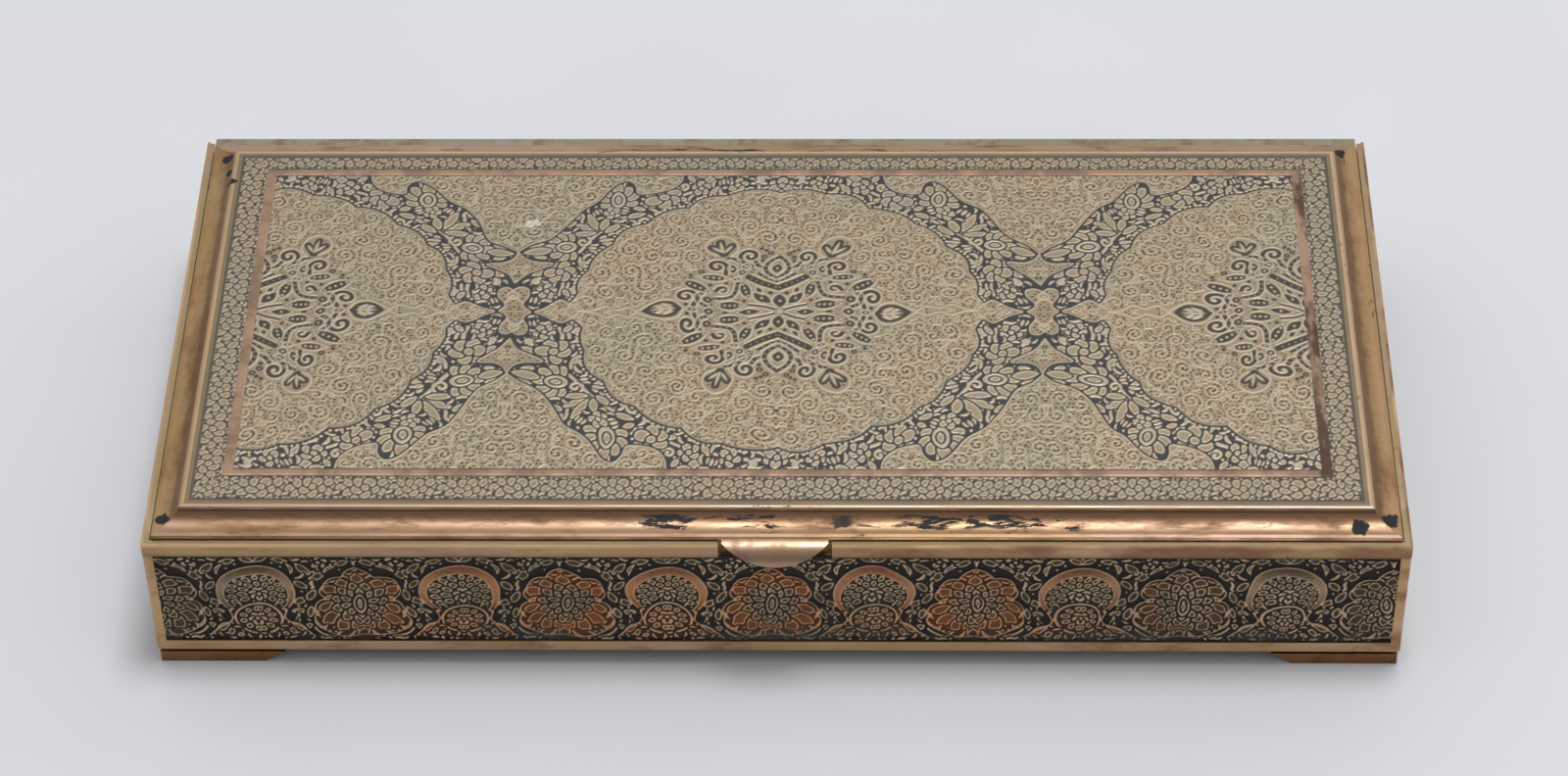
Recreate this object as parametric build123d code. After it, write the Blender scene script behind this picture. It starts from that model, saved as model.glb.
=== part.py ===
from build123d import *
import math
import os

# A flat table cigarette box of engraved sheet metal on four bracket feet.
# Four soldered walls carry plain edging bands, a cedar lining holds two compartments, and the lid,
# a raised engraved plate in a mitred cove moulding, turns on a barrel hinge let into the back.
# Frame: millimetres, +Z up, front towards -Y, origin on the table under the middle of the box.

# Driving sizes of the case
CASE_WIDTH = 176.0            # over the edging bands, along X
CASE_DEPTH = 85.0             # over the edging bands, along Y
FOOT_HEIGHT = 2.0
BASE_PLATE_THICKNESS = 0.8
WALL_HEIGHT = 21.2            # from the base plate to the rim
WALL_THICKNESS = 0.7
BAND_THICKNESS = 0.4          # edging bands stand proud of the engraved walls by this
RIM_BAND_HEIGHT = 2.1
BASE_BAND_HEIGHT = 1.8
CORNER_STRIP_WIDTH = 1.5
CORNER_ROUND = 0.6
BASE_PLATE_INSET = 0.9        # dark recess above each foot
FOOT_INSET = 0.3
FOOT_LENGTH = 17.8            # along each side, where the foot meets the base plate
FOOT_TOE_CUT = 3.0            # how much shorter the foot is on the table
FOOT_WIDTH = 3.6

# Cedar lining
LINING_THICKNESS = 2.0
LINING_FLOOR_THICKNESS = 1.5
LINING_DROP = 0.5             # the lid seats this far below the rim
DIVIDER_THICKNESS = 2.0
DIVIDER_DROP = 1.5            # divider's top below the lining's top
DIVIDER_GROOVE = 0.7

# Lid
LID_GAP = 0.3                 # round the lid, inside the rim
LIP_THICKNESS = 0.8
LIP_ABOVE_RIM = 0.6
LID_RISE = 2.7                # engraved plate above the rim
MOULDING_WIDTH = 3.75         # from the lip's face to the raised edge
COVE_FOOT = 0.5               # flat between the lip and the cove
BEAD_HEIGHT = 0.7
BEAD_WIDTH = 1.2              # plain edge round the engraved plate
BEAD_OVERHANG = 0.3
TOP_PLATE_THICKNESS = 0.8
TOP_PLATE_LEDGE = 1.0
INNER_PLATE_THICKNESS = 0.8

# Thumbpiece
THUMB_WIDTH = 14.8
THUMB_GAP = 0.5               # each side, in the notch
THUMB_RADIUS = 2.9            # outside of its curl
THUMB_LIFT = 0.1              # its underside above the lining's front board
THUMB_END_HEIGHT = 0.7        # of its square ends, seen along its slope
THUMB_DROP = 0.25             # its top below the lip's top

# Hinge
BARREL_RADIUS = 1.0
PIN_RADIUS = 0.45
PIN_CLEARANCE = 0.05
HINGE_CLEARANCE = 0.1         # barrel to wall and leaf
AXIS_INSET = 0.85             # axis inside the back face; it sets how far the lid opens
KNUCKLE_COUNT = 7
KNUCKLE_GAP = 0.15
BARREL_END_GAP = 0.4
KNUCKLE_FOOT_OUT = 0.6        # knuckle's foot, outwards of the axis
BARREL_REBATE = 0.15          # room round the barrel in the lining

# Levels
base_z = FOOT_HEIGHT + BASE_PLATE_THICKNESS
rim_z = base_z + WALL_HEIGHT
seat_z = rim_z - LINING_DROP
lip_z = rim_z + LIP_ABOVE_RIM
top_z = rim_z + LID_RISE
back_wall_z = rim_z - RIM_BAND_HEIGHT
axis_z = back_wall_z + HINGE_CLEARANCE + BARREL_RADIUS
leaf_z = axis_z + BARREL_RADIUS + HINGE_CLEARANCE

# Half sizes in plan
case_x, case_y = CASE_WIDTH / 2, CASE_DEPTH / 2
wall_x, wall_y = case_x - BAND_THICKNESS, case_y - BAND_THICKNESS
room_x, room_y = wall_x - WALL_THICKNESS, wall_y - WALL_THICKNESS
lid_x, lid_y = room_x - LID_GAP, room_y - LID_GAP
box_x, box_y = room_x - LINING_THICKNESS, room_y - LINING_THICKNESS
axis_y = case_y - AXIS_INSET
opening_angle = 2 * math.degrees(math.atan((BARREL_RADIUS + HINGE_CLEARANCE) / AXIS_INSET))

BOTTOM_LEFT_BACK = (Align.MIN, Align.MIN, Align.MIN)


def block(x, y, z):
    """A box from three pairs: lowest and highest along each axis."""
    solid = Box(x[1] - x[0], y[1] - y[0], z[1] - z[0], align=BOTTOM_LEFT_BACK)
    return Pos(x[0], y[0], z[0]) * solid


def base_plate():
    plate_x, plate_y = case_x - BASE_PLATE_INSET, case_y - BASE_PLATE_INSET
    return block((-plate_x, plate_x), (-plate_y, plate_y), (FOOT_HEIGHT, base_z))


def thumb_notch():
    """The cut through the front wall and its rim band that the thumbpiece hangs in."""
    half = THUMB_WIDTH / 2 + THUMB_GAP
    return block((-half, half), (-case_y - 1, -room_y + 1), (rim_z - RIM_BAND_HEIGHT, rim_z + 1))


def walls():
    side_run, depth = (base_z, rim_z), (-wall_y, wall_y)
    return {
        "front_wall": block((-room_x, room_x), (-wall_y, -room_y), side_run) - thumb_notch(),
        "back_wall": block((-room_x, room_x), (room_y, wall_y), (base_z, back_wall_z)),
        "left_wall": block((-wall_x, -room_x), depth, side_run),
        "right_wall": block((room_x, wall_x), depth, side_run),
    }


def round_corners(strip):
    """Rounds a strip's upright edges that lie on the case's outer corners."""
    corners = [
        e
        for e in strip.edges().filter_by(Axis.Z)
        if abs(abs(e.center().X) - case_x) < 1e-6 and abs(abs(e.center().Y) - case_y) < 1e-6
    ]
    return fillet(corners, min(CORNER_ROUND, BAND_THICKNESS * 0.9)) if corners else strip


def rim_bands():
    """Plain bands round the top edge, parted at the front by the thumbpiece's notch."""
    height = (rim_z - RIM_BAND_HEIGHT, rim_z)
    notch_x = THUMB_WIDTH / 2 + THUMB_GAP
    back_height = (back_wall_z - RIM_BAND_HEIGHT, back_wall_z)
    between = case_x - CORNER_STRIP_WIDTH
    bands = {
        "rim_band_front_left": block((-case_x, -notch_x), (-case_y, -wall_y), height),
        "rim_band_front_right": block((notch_x, case_x), (-case_y, -wall_y), height),
        "rim_band_left": block((-case_x, -wall_x), (-wall_y, case_y), height),
        "rim_band_right": block((wall_x, case_x), (-wall_y, case_y), height),
        "rim_band_back": block((-between, between), (wall_y, case_y), back_height),
    }
    return {name: round_corners(band) for name, band in bands.items()}


def base_bands():
    height = (base_z, base_z + BASE_BAND_HEIGHT)
    bands = {
        "base_band_front": block((-case_x, case_x), (-case_y, -wall_y), height),
        "base_band_back": block((-case_x, case_x), (wall_y, case_y), height),
        "base_band_left": block((-case_x, -wall_x), (-wall_y, wall_y), height),
        "base_band_right": block((wall_x, case_x), (-wall_y, wall_y), height),
    }
    return {name: round_corners(band) for name, band in bands.items()}


def corner_strip():
    """The angle strip up the front right corner, between the two bands."""
    height = (base_z + BASE_BAND_HEIGHT, rim_z - RIM_BAND_HEIGHT)
    inner = CORNER_STRIP_WIDTH
    angle = block((case_x - inner, case_x), (-case_y, -case_y + inner), height)
    angle -= block((case_x - inner - 1, wall_x), (-wall_y, -case_y + inner + 1), height)
    upright = [
        e
        for e in angle.edges().filter_by(Axis.Z)
        if abs(e.center().X - case_x) < 1e-6 and abs(e.center().Y + case_y) < 1e-6
    ]
    return fillet(upright, CORNER_ROUND)


def foot():
    """The bracket foot at the front right corner: two legs whose toes slope in to the table."""
    out_x, out_y = case_x - FOOT_INSET, case_y - FOOT_INSET
    toe = FOOT_LENGTH - FOOT_TOE_CUT
    leg_section = [(0, 0), (-toe, 0), (-FOOT_LENGTH, FOOT_HEIGHT), (0, FOOT_HEIGHT)]
    along_x = extrude(Plane.XZ * make_face(Polyline(*leg_section, close=True)), -FOOT_WIDTH)
    along_x = Pos(out_x, -out_y, 0) * along_x
    side_section = [(0, 0), (toe, 0), (FOOT_LENGTH, FOOT_HEIGHT), (0, FOOT_HEIGHT)]
    along_y = extrude(Plane.YZ * make_face(Polyline(*side_section, close=True)), -FOOT_WIDTH)
    along_y = Pos(out_x, -out_y, 0) * along_y
    return along_x + along_y


def at_corners(piece, name):
    """Copies a front right piece to the four corners by mirroring it."""
    left = mirror(piece, Plane.YZ)
    return {
        f"{name}_front_right": piece,
        f"{name}_front_left": left,
        f"{name}_back_right": mirror(piece, Plane.XZ),
        f"{name}_back_left": mirror(left, Plane.XZ),
    }


def lining():
    """Cedar boards: floor, two long boards, two ends between them, and a divider let into grooves."""
    floor_z = base_z + LINING_FLOOR_THICKNESS
    board = (floor_z, seat_z)
    groove = DIVIDER_THICKNESS / 2
    front = block((-room_x, room_x), (-room_y, -box_y), board)
    front -= block((-groove, groove), (-box_y - DIVIDER_GROOVE, -box_y + 1), (floor_z, seat_z + 1))
    back = block((-room_x, room_x), (box_y, room_y), board)
    back -= block((-groove, groove), (box_y - 1, box_y + DIVIDER_GROOVE), (floor_z, seat_z + 1))
    room = BARREL_RADIUS + BARREL_REBATE
    back -= block((-case_x, case_x), (axis_y - room, case_y), (axis_z - room, rim_z + 1))
    return {
        "lining_floor": block((-room_x, room_x), (-room_y, room_y), (base_z, floor_z)),
        "lining_front": front,
        "lining_back": back,
        "lining_left": block((-room_x, -box_x), (-box_y, box_y), board),
        "lining_right": block((box_x, room_x), (-box_y, box_y), board),
        "lining_divider": block(
            (-groove, groove),
            (-box_y - DIVIDER_GROOVE, box_y + DIVIDER_GROOVE),
            (floor_z, seat_z - DIVIDER_DROP),
        ),
    }


def moulding_section(lip_bottom):
    """Cove moulding in section: s runs inwards from the lip's face, z is the height.

    From the lip a flat foot leads into a cove that is level where it starts and steepens up to
    the bead. Behind the bead a ledge carries the engraved plate.
    """
    cove_z = lip_z + 0.1
    bead_s = MOULDING_WIDTH - BEAD_OVERHANG
    bead_z = top_z - BEAD_HEIGHT
    run, rise = bead_s - COVE_FOOT, bead_z - cove_z
    cove_radius = (run**2 + rise**2) / (2 * rise)
    half_turn = math.asin(run / cove_radius) / 2
    cove_middle = (
        COVE_FOOT + cove_radius * math.sin(half_turn),
        cove_z + cove_radius * (1 - math.cos(half_turn)),
    )
    bead_edge = MOULDING_WIDTH + BEAD_HEIGHT / 3
    shoulder = (MOULDING_WIDTH - BEAD_OVERHANG / 2, top_z - BEAD_HEIGHT / 3)
    plate_s = MOULDING_WIDTH + BEAD_WIDTH
    ledge_s = plate_s + TOP_PLATE_LEDGE
    ledge_z = top_z - TOP_PLATE_THICKNESS
    inner_z = seat_z + INNER_PLATE_THICKNESS
    low = max(lip_bottom, seat_z)
    outline = Curve() + [
        Line((0, low), (0, lip_z)),
        Line((0, lip_z), (COVE_FOOT, cove_z)),
        ThreePointArc((COVE_FOOT, cove_z), cove_middle, (bead_s, bead_z)),
        ThreePointArc((bead_s, bead_z), shoulder, (bead_edge, top_z)),
        Line((bead_edge, top_z), (plate_s, top_z)),
        Line((plate_s, top_z), (plate_s, ledge_z)),
        Line((plate_s, ledge_z), (ledge_s, ledge_z)),
        Line((ledge_s, ledge_z), (ledge_s, inner_z)),
        Line((ledge_s, inner_z), (LIP_THICKNESS, inner_z)),
        Line((LIP_THICKNESS, inner_z), (LIP_THICKNESS, low)),
        Line((LIP_THICKNESS, low), (0, low)),
    ]
    return make_face(outline)


def mitred(section, reach, length, turn):
    """A length of moulding with 45 degree ends, its lip's face at reach from the middle, turned about Z.

    Before the turn it lies along X at the front.
    """
    plane = Plane(origin=(0, -reach, 0), x_dir=(0, 1, 0), z_dir=(1, 0, 0))
    bar = extrude(plane * section, length / 2, both=True)
    deep = MOULDING_WIDTH + BEAD_WIDTH + TOP_PLATE_LEDGE
    half = length / 2
    inner = deep - reach
    plan = Polyline((-half, -reach), (half, -reach), (half - deep, inner), (deep - half, inner), close=True)
    keep = Pos(0, 0, base_z) * extrude(make_face(plan), top_z)
    return Rot(0, 0, turn) * (bar & keep)


def lid_mouldings():
    whole, cut = moulding_section(seat_z), moulding_section(leaf_z)
    return {
        "lid_moulding_front": mitred(whole, lid_y, 2 * lid_x, 0),
        "lid_moulding_right": mitred(whole, lid_x, 2 * lid_y, 90),
        "lid_moulding_back": mitred(cut, lid_y, 2 * lid_x, 180),
        "lid_moulding_left": mitred(whole, lid_x, 2 * lid_y, 270),
    }


def lid_plates():
    """The engraved plate on the mouldings' ledge, and the inner plate that closes the lid."""
    edge = MOULDING_WIDTH + BEAD_WIDTH
    top_x, top_y = lid_x - edge, lid_y - edge
    inner_x, inner_y = lid_x - LIP_THICKNESS, lid_y - LIP_THICKNESS
    inner_z = seat_z + INNER_PLATE_THICKNESS
    return {
        "lid_top_plate": block((-top_x, top_x), (-top_y, top_y), (top_z - TOP_PLATE_THICKNESS, top_z)),
        "lid_inner_plate": block((-inner_x, inner_x), (-inner_y, inner_y), (seat_z, inner_z)),
    }


def thumbpiece():
    """A curled half-moon tab: a quarter-round strip, cut to a crescent seen along its slope."""
    curl_z = lip_z - THUMB_DROP - THUMB_RADIUS
    inner = seat_z + THUMB_LIFT - curl_z
    slope = math.sqrt(0.5)
    strip = Curve() + [
        ThreePointArc((0, THUMB_RADIUS), (-slope * THUMB_RADIUS, slope * THUMB_RADIUS), (-THUMB_RADIUS, 0)),
        Line((-THUMB_RADIUS, 0), (-inner, 0)),
        ThreePointArc((-inner, 0), (-slope * inner, slope * inner), (0, inner)),
        Line((0, inner), (0, THUMB_RADIUS)),
    ]
    section = Plane(origin=(0, -lid_y, curl_z), x_dir=(0, 1, 0), z_dir=(1, 0, 0))
    curl = extrude(section * make_face(strip), THUMB_WIDTH / 2, both=True)
    half, reach = THUMB_WIDTH / 2, THUMB_RADIUS * slope
    end = reach - THUMB_END_HEIGHT
    crescent = Curve() + [
        Line((-half, end), (-half, 2 * THUMB_RADIUS)),
        Line((-half, 2 * THUMB_RADIUS), (half, 2 * THUMB_RADIUS)),
        Line((half, 2 * THUMB_RADIUS), (half, end)),
        ThreePointArc((half, end), (0, -reach), (-half, end)),
    ]
    facing = Plane(origin=(0, -lid_y, curl_z), x_dir=(1, 0, 0), z_dir=(0, -slope, slope))
    return curl & extrude(facing * make_face(crescent), 2 * THUMB_RADIUS)


def hinge():
    """Barrel knuckles in turn on the case and on the lid's leaf, and the pin through them."""
    barrel = 2 * (lid_x - LIP_THICKNESS - BARREL_END_GAP)
    pitch = (barrel + KNUCKLE_GAP) / KNUCKLE_COUNT
    length = pitch - KNUCKLE_GAP
    along_x = Plane(origin=(0, axis_y, axis_z), x_dir=(0, 1, 0), z_dir=(1, 0, 0))
    bore = PIN_RADIUS + PIN_CLEARANCE
    root = math.sqrt(BARREL_RADIUS**2 - KNUCKLE_FOOT_OUT**2)
    knuckles = {"hinge_case_knuckles": [], "hinge_lid_knuckles": []}
    for i in range(KNUCKLE_COUNT):
        start = -barrel / 2 + i * pitch
        on_case = i % 2 == 0
        ring = extrude(along_x * Circle(BARREL_RADIUS), length)
        seat = BARREL_RADIUS + HINGE_CLEARANCE
        foot_z = (axis_z - seat, axis_z - root / 2) if on_case else (axis_z + root / 2, axis_z + seat)
        inward = room_y if on_case else lid_y
        ring += block((0, length), (inward, axis_y + KNUCKLE_FOOT_OUT), foot_z)
        ring -= extrude(along_x * Circle(bore), length)
        knuckles["hinge_case_knuckles" if on_case else "hinge_lid_knuckles"].append(Pos(start, 0, 0) * ring)
    leaf = block((-lid_x, lid_x), (lid_y, case_y), (leaf_z, lip_z))
    return {
        **{name: Compound(children=list(rings)) for name, rings in knuckles.items()},
        "hinge_pin": extrude(along_x * Circle(PIN_RADIUS), barrel / 2, both=True),
        "lid_hinge_leaf": leaf,
    }


def pieces():
    return {
        "base_plate": base_plate(),
        **walls(),
        **rim_bands(),
        **base_bands(),
        **at_corners(corner_strip(), "corner_strip"),
        **at_corners(foot(), "foot"),
        **lining(),
        **lid_plates(),
        **lid_mouldings(),
        "thumbpiece": thumbpiece(),
        **hinge(),
    }


def main():
    os.makedirs("parts", exist_ok=True)
    for name, piece in pieces().items():
        export_step(piece, f"parts/{name}.step")
    print(f"axis y {axis_y:.3f} z {axis_z:.3f}, the lid opens {opening_angle:.1f} degrees")
    print(f"rim {rim_z:.2f}, seat {seat_z:.2f}, top {top_z:.2f}")


main()
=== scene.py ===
import math
from functools import partial, partialmethod

import bpy
import numpy as np
from bpy.props import FloatProperty, FloatVectorProperty, IntProperty, PointerProperty
from mathutils import Matrix, Vector


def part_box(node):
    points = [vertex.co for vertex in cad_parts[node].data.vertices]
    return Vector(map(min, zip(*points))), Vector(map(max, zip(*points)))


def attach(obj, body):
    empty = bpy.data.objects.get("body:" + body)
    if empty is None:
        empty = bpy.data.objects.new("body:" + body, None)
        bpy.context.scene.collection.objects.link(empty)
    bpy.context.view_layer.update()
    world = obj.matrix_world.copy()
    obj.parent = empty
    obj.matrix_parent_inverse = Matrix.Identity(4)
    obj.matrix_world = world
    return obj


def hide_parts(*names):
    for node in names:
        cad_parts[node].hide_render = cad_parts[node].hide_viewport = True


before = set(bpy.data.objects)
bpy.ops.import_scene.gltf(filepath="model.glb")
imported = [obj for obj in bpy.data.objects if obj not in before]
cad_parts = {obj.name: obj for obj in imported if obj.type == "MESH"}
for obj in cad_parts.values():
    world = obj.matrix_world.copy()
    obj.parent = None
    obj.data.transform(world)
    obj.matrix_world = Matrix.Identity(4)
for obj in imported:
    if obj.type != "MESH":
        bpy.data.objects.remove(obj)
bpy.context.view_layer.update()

bl_info = {
    "name": "Engraved cigarette case",
    "version": (1, 0, 0),
    "blender": (4, 5, 0),
    "location": "View3D > Sidebar > Cigarette case",
    "description": "Chased and engraved surfaces, worn metal and cedar lining of a table cigarette case",
    "category": "Object",
}


def length_property(label, description, default):
    return FloatProperty(name=label, description=description, default=default, unit="LENGTH")


def colour_property(label, description, default):
    return FloatVectorProperty(name=label, description=description, default=default, subtype="COLOR")


class CaseSizes(bpy.types.PropertyGroup):
    """Sizes of the chased work."""

    lid_cell: length_property("Lid cell", "Distance between neighbouring points of the lid's relief", 0.00016)
    panel_cell: length_property("Panel cell", "Distance between points of the wall panels' relief", 0.00019)
    lid_depth: length_property("Lid relief", "Depth of the chased work on the lid", 0.00009)
    panel_depth: length_property("Panel relief", "Depth of the chased work on the walls", 0.0003)
    medallion_pitch: length_property("Medallion pitch", "Distance between the lid's medallions", 0.0767)
    cartouche_pitch: length_property("Cartouche pitch", "Distance between the walls' cartouches", 0.0144)
    rosette_pitch: length_property("Rosette pitch", "Distance between rosettes in the lid's border", 0.0072)
    seed: IntProperty(name="Seed", description="Which arrangement of the fine scrolls is drawn", default=7)


class CaseColours(bpy.types.PropertyGroup):
    """Colours of the metal, the tarnish, the wood and the floor."""

    chased_ridge: colour_property("Chased ridges", "Worn tops of the lid's chased lines", (0.58, 0.5, 0.375))
    chased_ground: colour_property("Chased ground", "Dull ground between the scrolls", (0.36, 0.298, 0.203))
    oxide: colour_property("Oxide", "Blue-black ground of the leafy bands", (0.058, 0.056, 0.056))
    copper: colour_property("Copper", "Copper where the surface is worn through", (0.68, 0.33, 0.165))
    moulding: colour_property("Moulding", "Plain mouldings and bands", (0.55, 0.38, 0.265))
    tarnish: colour_property("Tarnish", "Black tarnish in the hollows", (0.012, 0.01, 0.01))
    foot: colour_property("Feet", "Bracket feet", (0.3, 0.145, 0.068))
    cedar: colour_property("Cedar", "Early wood of the lining", (0.42, 0.2, 0.095))
    floor: colour_property("Floor", "Paper sweep under the case", (0.685, 0.695, 0.725))


def sizes():
    return bpy.context.scene.case_sizes


def colours():
    return bpy.context.scene.case_colours


MM = 1000  # the drawing is in millimetres, the scene in metres

# Curves of the drawing, in millimetres

PATH_STEP = 0.05  # between the points of a drawn line


def unit(angle):
    """The direction at an angle."""
    return np.array([math.cos(angle), math.sin(angle)])


def left(way):
    """A direction turned a quarter to the left."""
    return np.array([-way[1], way[0]])


def oval(x, y, wide, high, angles):
    """Points of an upright ellipse at the given angles."""
    return np.column_stack([x + wide * np.cos(angles), y + high * np.sin(angles)])


def smooth_path(points, step=PATH_STEP):
    """A smooth curve through the points: each span is the cubic whose end slopes are half the chord
    between the neighbours on either side. Sampled about every step."""
    p = np.asarray(points, float)
    p = np.vstack([2 * p[0] - p[1], p, 2 * p[-1] - p[-2]])
    a, b, c, d = p[:-3], p[1:-2], p[2:-1], p[3:]
    count = max(2, int(np.hypot(*(c - b).T).max() / step) + 1)
    t = np.linspace(0, 1, count, endpoint=False)[None, :, None]
    a, b, c, d = (v[:, None, :] for v in (a, b, c, d))
    spans = b + 0.5 * t * (c - a + t * (2 * a - 5 * b + 4 * c - d + t * (3 * b - 3 * c + d - a)))
    return np.vstack([spans.reshape(-1, 2), p[-2:-1]])


def curl(x, y, radius, turns, start, hand, tail=0.0):
    """A volute: the angle runs through the turns while the radius shrinks from the rim to a sixth of
    it by the power 0.85, led in by a bent tail along the rim's tangent."""
    count = max(8, int(turns * 2 * math.pi * radius * 0.7 / PATH_STEP))
    t = np.linspace(0, 1, count)
    angle = start + hand * turns * 2 * math.pi * t
    r = radius * (1 - 0.84 * t**0.85)
    path = np.column_stack([x + r * np.cos(angle), y + r * np.sin(angle)])
    if tail:
        back = np.linspace(tail, 0, max(2, int(tail / PATH_STEP)), endpoint=False)[:, None]
        out = unit(start)
        along = left(out) * hand
        path = np.vstack([path[0] - back * along + out * back**2 * 0.25 / max(radius, 0.1), path])
    return path


def lobes(cusps, bulge):
    """A chain of arcs between neighbouring cusps. Each arc bulges to the left of its chord by its own
    share of the chord's length, as a parabola."""
    cusps = np.asarray(cusps, float)
    a, b = cusps[:-1, None, :], cusps[1:, None, :]
    t = np.linspace(0, 1, 24, endpoint=False)[None, :, None]
    chord = b - a
    left = np.concatenate([-chord[..., 1:], chord[..., :1]], axis=-1)
    swell = np.asarray(bulge, float).reshape(-1, 1, 1) * np.ones((len(cusps) - 1, 1, 1))
    arcs = a + t * chord + 4 * t * (1 - t) * swell * left
    return np.vstack([arcs.reshape(-1, 2), cusps[-1:]])


def lens(start, end, width):
    """The outline of a pointed leaf: both sides are half a sine wave about the line from start to end."""
    a, b = np.asarray(start, float), np.asarray(end, float)
    length = np.hypot(*(b - a))
    t = np.linspace(0, 1, max(6, int(length / PATH_STEP)))[:, None]
    side = np.sin(np.pi * t) * width / 2 * (left(b - a) / length)
    line = a + t * (b - a)
    return np.vstack([line + side, (line - side)[::-1]])


def offset(path, distance):
    """A path moved sideways, to its left by the distance."""
    path = np.asarray(path, float)
    way = np.gradient(path, axis=0)
    way /= np.hypot(*way.T)[:, None] + 1e-9
    return path + distance * np.column_stack([-way[:, 1], way[:, 0]])


def spaced(path, pitch):
    """Points along a path, a pitch apart, the first half a pitch from its start."""
    path = np.asarray(path, float)
    run = np.concatenate([[0], np.cumsum(np.hypot(*np.diff(path, axis=0).T))])
    at = np.arange(0.5 * pitch, run[-1], pitch)
    return np.column_stack([np.interp(at, run, path[:, 0]), np.interp(at, run, path[:, 1])])


CELL = 0.06  # side of a drawing board's cell
SOLID = 3.0  # height of a boss that is flat on top once the layer is cut off at one


class Board:
    """A drawing board that holds the height of the chased work, cell by cell.

    Strokes, petals and dots are chains of round bosses; where they meet, the higher one shows.
    """

    def __init__(self, low, high):
        self.low, self.high, self.cell = np.asarray(low, float), high, CELL
        self.shape = tuple(int(math.ceil((h - l) / CELL)) + 1 for l, h in zip(low, high))
        self.rise, self.ground, self.copper, self.pit = np.zeros((4, *self.shape), np.float32)
        self.x = (self.low[0] + CELL * np.arange(self.shape[0]))[:, None]
        self.y = (self.low[1] + CELL * np.arange(self.shape[1]))[None, :]

    def blank(self):
        """A clean board of the same size."""
        return Board(self.low, self.high)

    def bosses(self, layer, points, radius, height=1.0, clear=False):
        """Raises a round boss at each point: height times one minus the squared share of its radius.
        With clear, the layer is wiped there instead."""
        points = np.asarray(points, float)
        radius = np.broadcast_to(np.asarray(radius, float), (len(points),))
        height = np.broadcast_to(np.asarray(height, float), (len(points),))
        classes = np.ceil(radius / self.cell / 2).astype(int)
        for c in np.unique(classes):
            sel = classes == c
            reach = 2 * c + 1
            span = np.arange(-reach, reach + 1)
            dx, dy = (v.ravel() for v in np.meshgrid(span, span, indexing="ij"))
            at = (points[sel] - self.low) / self.cell
            near = np.rint(at).astype(int)
            ix, iy = near[:, :1] + dx, near[:, 1:] + dy
            far = ((ix - at[:, :1]) ** 2 + (iy - at[:, 1:]) ** 2) * self.cell**2
            value = height[sel, None] * (1 - far / radius[sel, None] ** 2)
            keep = (value > 0) & (ix >= 0) & (iy >= 0) & (ix < self.shape[0]) & (iy < self.shape[1])
            if clear:
                layer[ix[keep], iy[keep]] = 0
            else:
                np.maximum.at(layer, (ix[keep], iy[keep]), value[keep].astype(np.float32))

    def form(self, points, radius, gap=0.0, height=1.0):
        """A raised form of bosses, parted by a gap from what lies under it."""
        if gap:
            self.bosses(self.rise, points, radius + gap, clear=True)
        self.bosses(self.rise, points, radius, height)

    def line(self, path, width, height=1.0, gap=0.0):
        """A raised line of the given width, parted by a gap from what it crosses."""
        if gap:
            self.bosses(self.rise, np.asarray(path)[::2], width / 2 + gap, clear=True)
        self.bosses(self.rise, path, width / 2 * 1.25, height)

    def darken(self, path, reach):
        """Dark ground within reach of a path."""
        self.bosses(self.ground, np.asarray(path)[::2], reach * 1.15, SOLID)

    def petal(self, start, end, width, gap=0.2):
        """A pointed petal: bosses along its axis whose radius follows a sine, fullest a little before
        the middle."""
        a, b = np.asarray(start, float), np.asarray(end, float)
        count = max(4, int(np.hypot(*(b - a)) / self.cell / 1.5))
        t = np.linspace(0.02, 0.98, count)
        radius = width / 2 * np.sin(np.pi * t**0.9) ** 0.95 + 0.05
        self.form(a + t[:, None] * (b - a), radius, gap)

    def petals(self, rows, gap=0.2):
        """Petals from rows of start, end and width."""
        for start, end, width in rows:
            self.petal(start, end, width, gap)

    def leaf(self, path, width, gap):
        """A pointed leaf along a curved path, fullest in its middle, as half a sine wave."""
        t = np.linspace(0.03, 0.97, len(path))
        self.form(path, width / 2 * np.sin(np.pi * t) + 0.05, gap)

    def rosette(self, x, y, radius, petals, turn, gap=0.2):
        """A ring of petals round a boss."""
        here = np.array([x, y])
        for k in range(petals):
            out = unit(turn + 2 * math.pi * k / petals) * radius
            self.petal(here + out * 0.25, here + out, radius * 0.85, gap)
        self.form([here], radius * 0.3, gap, 1.1)

    def palmette(self, x, y, way, radius):
        """A fan of leaves round a bud, opening towards way, each leaf parted from the next."""
        here = np.array([x, y])
        for spread, reach in ((112, 0.95), (76, 1.0), (40, 1.05), (0, 1.2)):
            for side in (-1, 1) if spread else (1,):
                out = unit(way + math.radians(side * spread)) * radius
                self.petal(here + 0.3 * out, here + reach * out, radius * 0.55)
        out = unit(way) * radius
        self.petal(here - 0.5 * out, here + 0.5 * out, radius * 0.75)
        self.petal(here - 0.25 * out, here + 0.25 * out, radius * 0.3)

    def inside(self, outline):
        """Which cells lie inside a closed outline, by counting the sides crossed on the way left."""
        x, y = np.broadcast_arrays(self.x, self.y)
        hit = np.zeros(self.shape, bool)
        q = np.asarray(outline, float)
        for (x0, y0), (x1, y1) in zip(q, np.roll(q, -1, axis=0)):
            if y0 != y1:
                spans = (y0 > y) != (y1 > y)
                hit ^= spans & (x < x0 + (y - y0) * (x1 - x0) / (y1 - y0))
        return hit

    def look(self, layer, x, y):
        """A layer's value at any places, blended between the four nearest cells."""
        u = np.clip((x - self.low[0]) / self.cell, 0, self.shape[0] - 1.001)
        v = np.clip((y - self.low[1]) / self.cell, 0, self.shape[1] - 1.001)
        i, j = u.astype(int), v.astype(int)
        u, v = u - i, v - j
        return (
            layer[i, j] * (1 - u) * (1 - v)
            + layer[i + 1, j] * u * (1 - v)
            + layer[i, j + 1] * (1 - u) * v
            + layer[i + 1, j + 1] * u * v
        )


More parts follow.
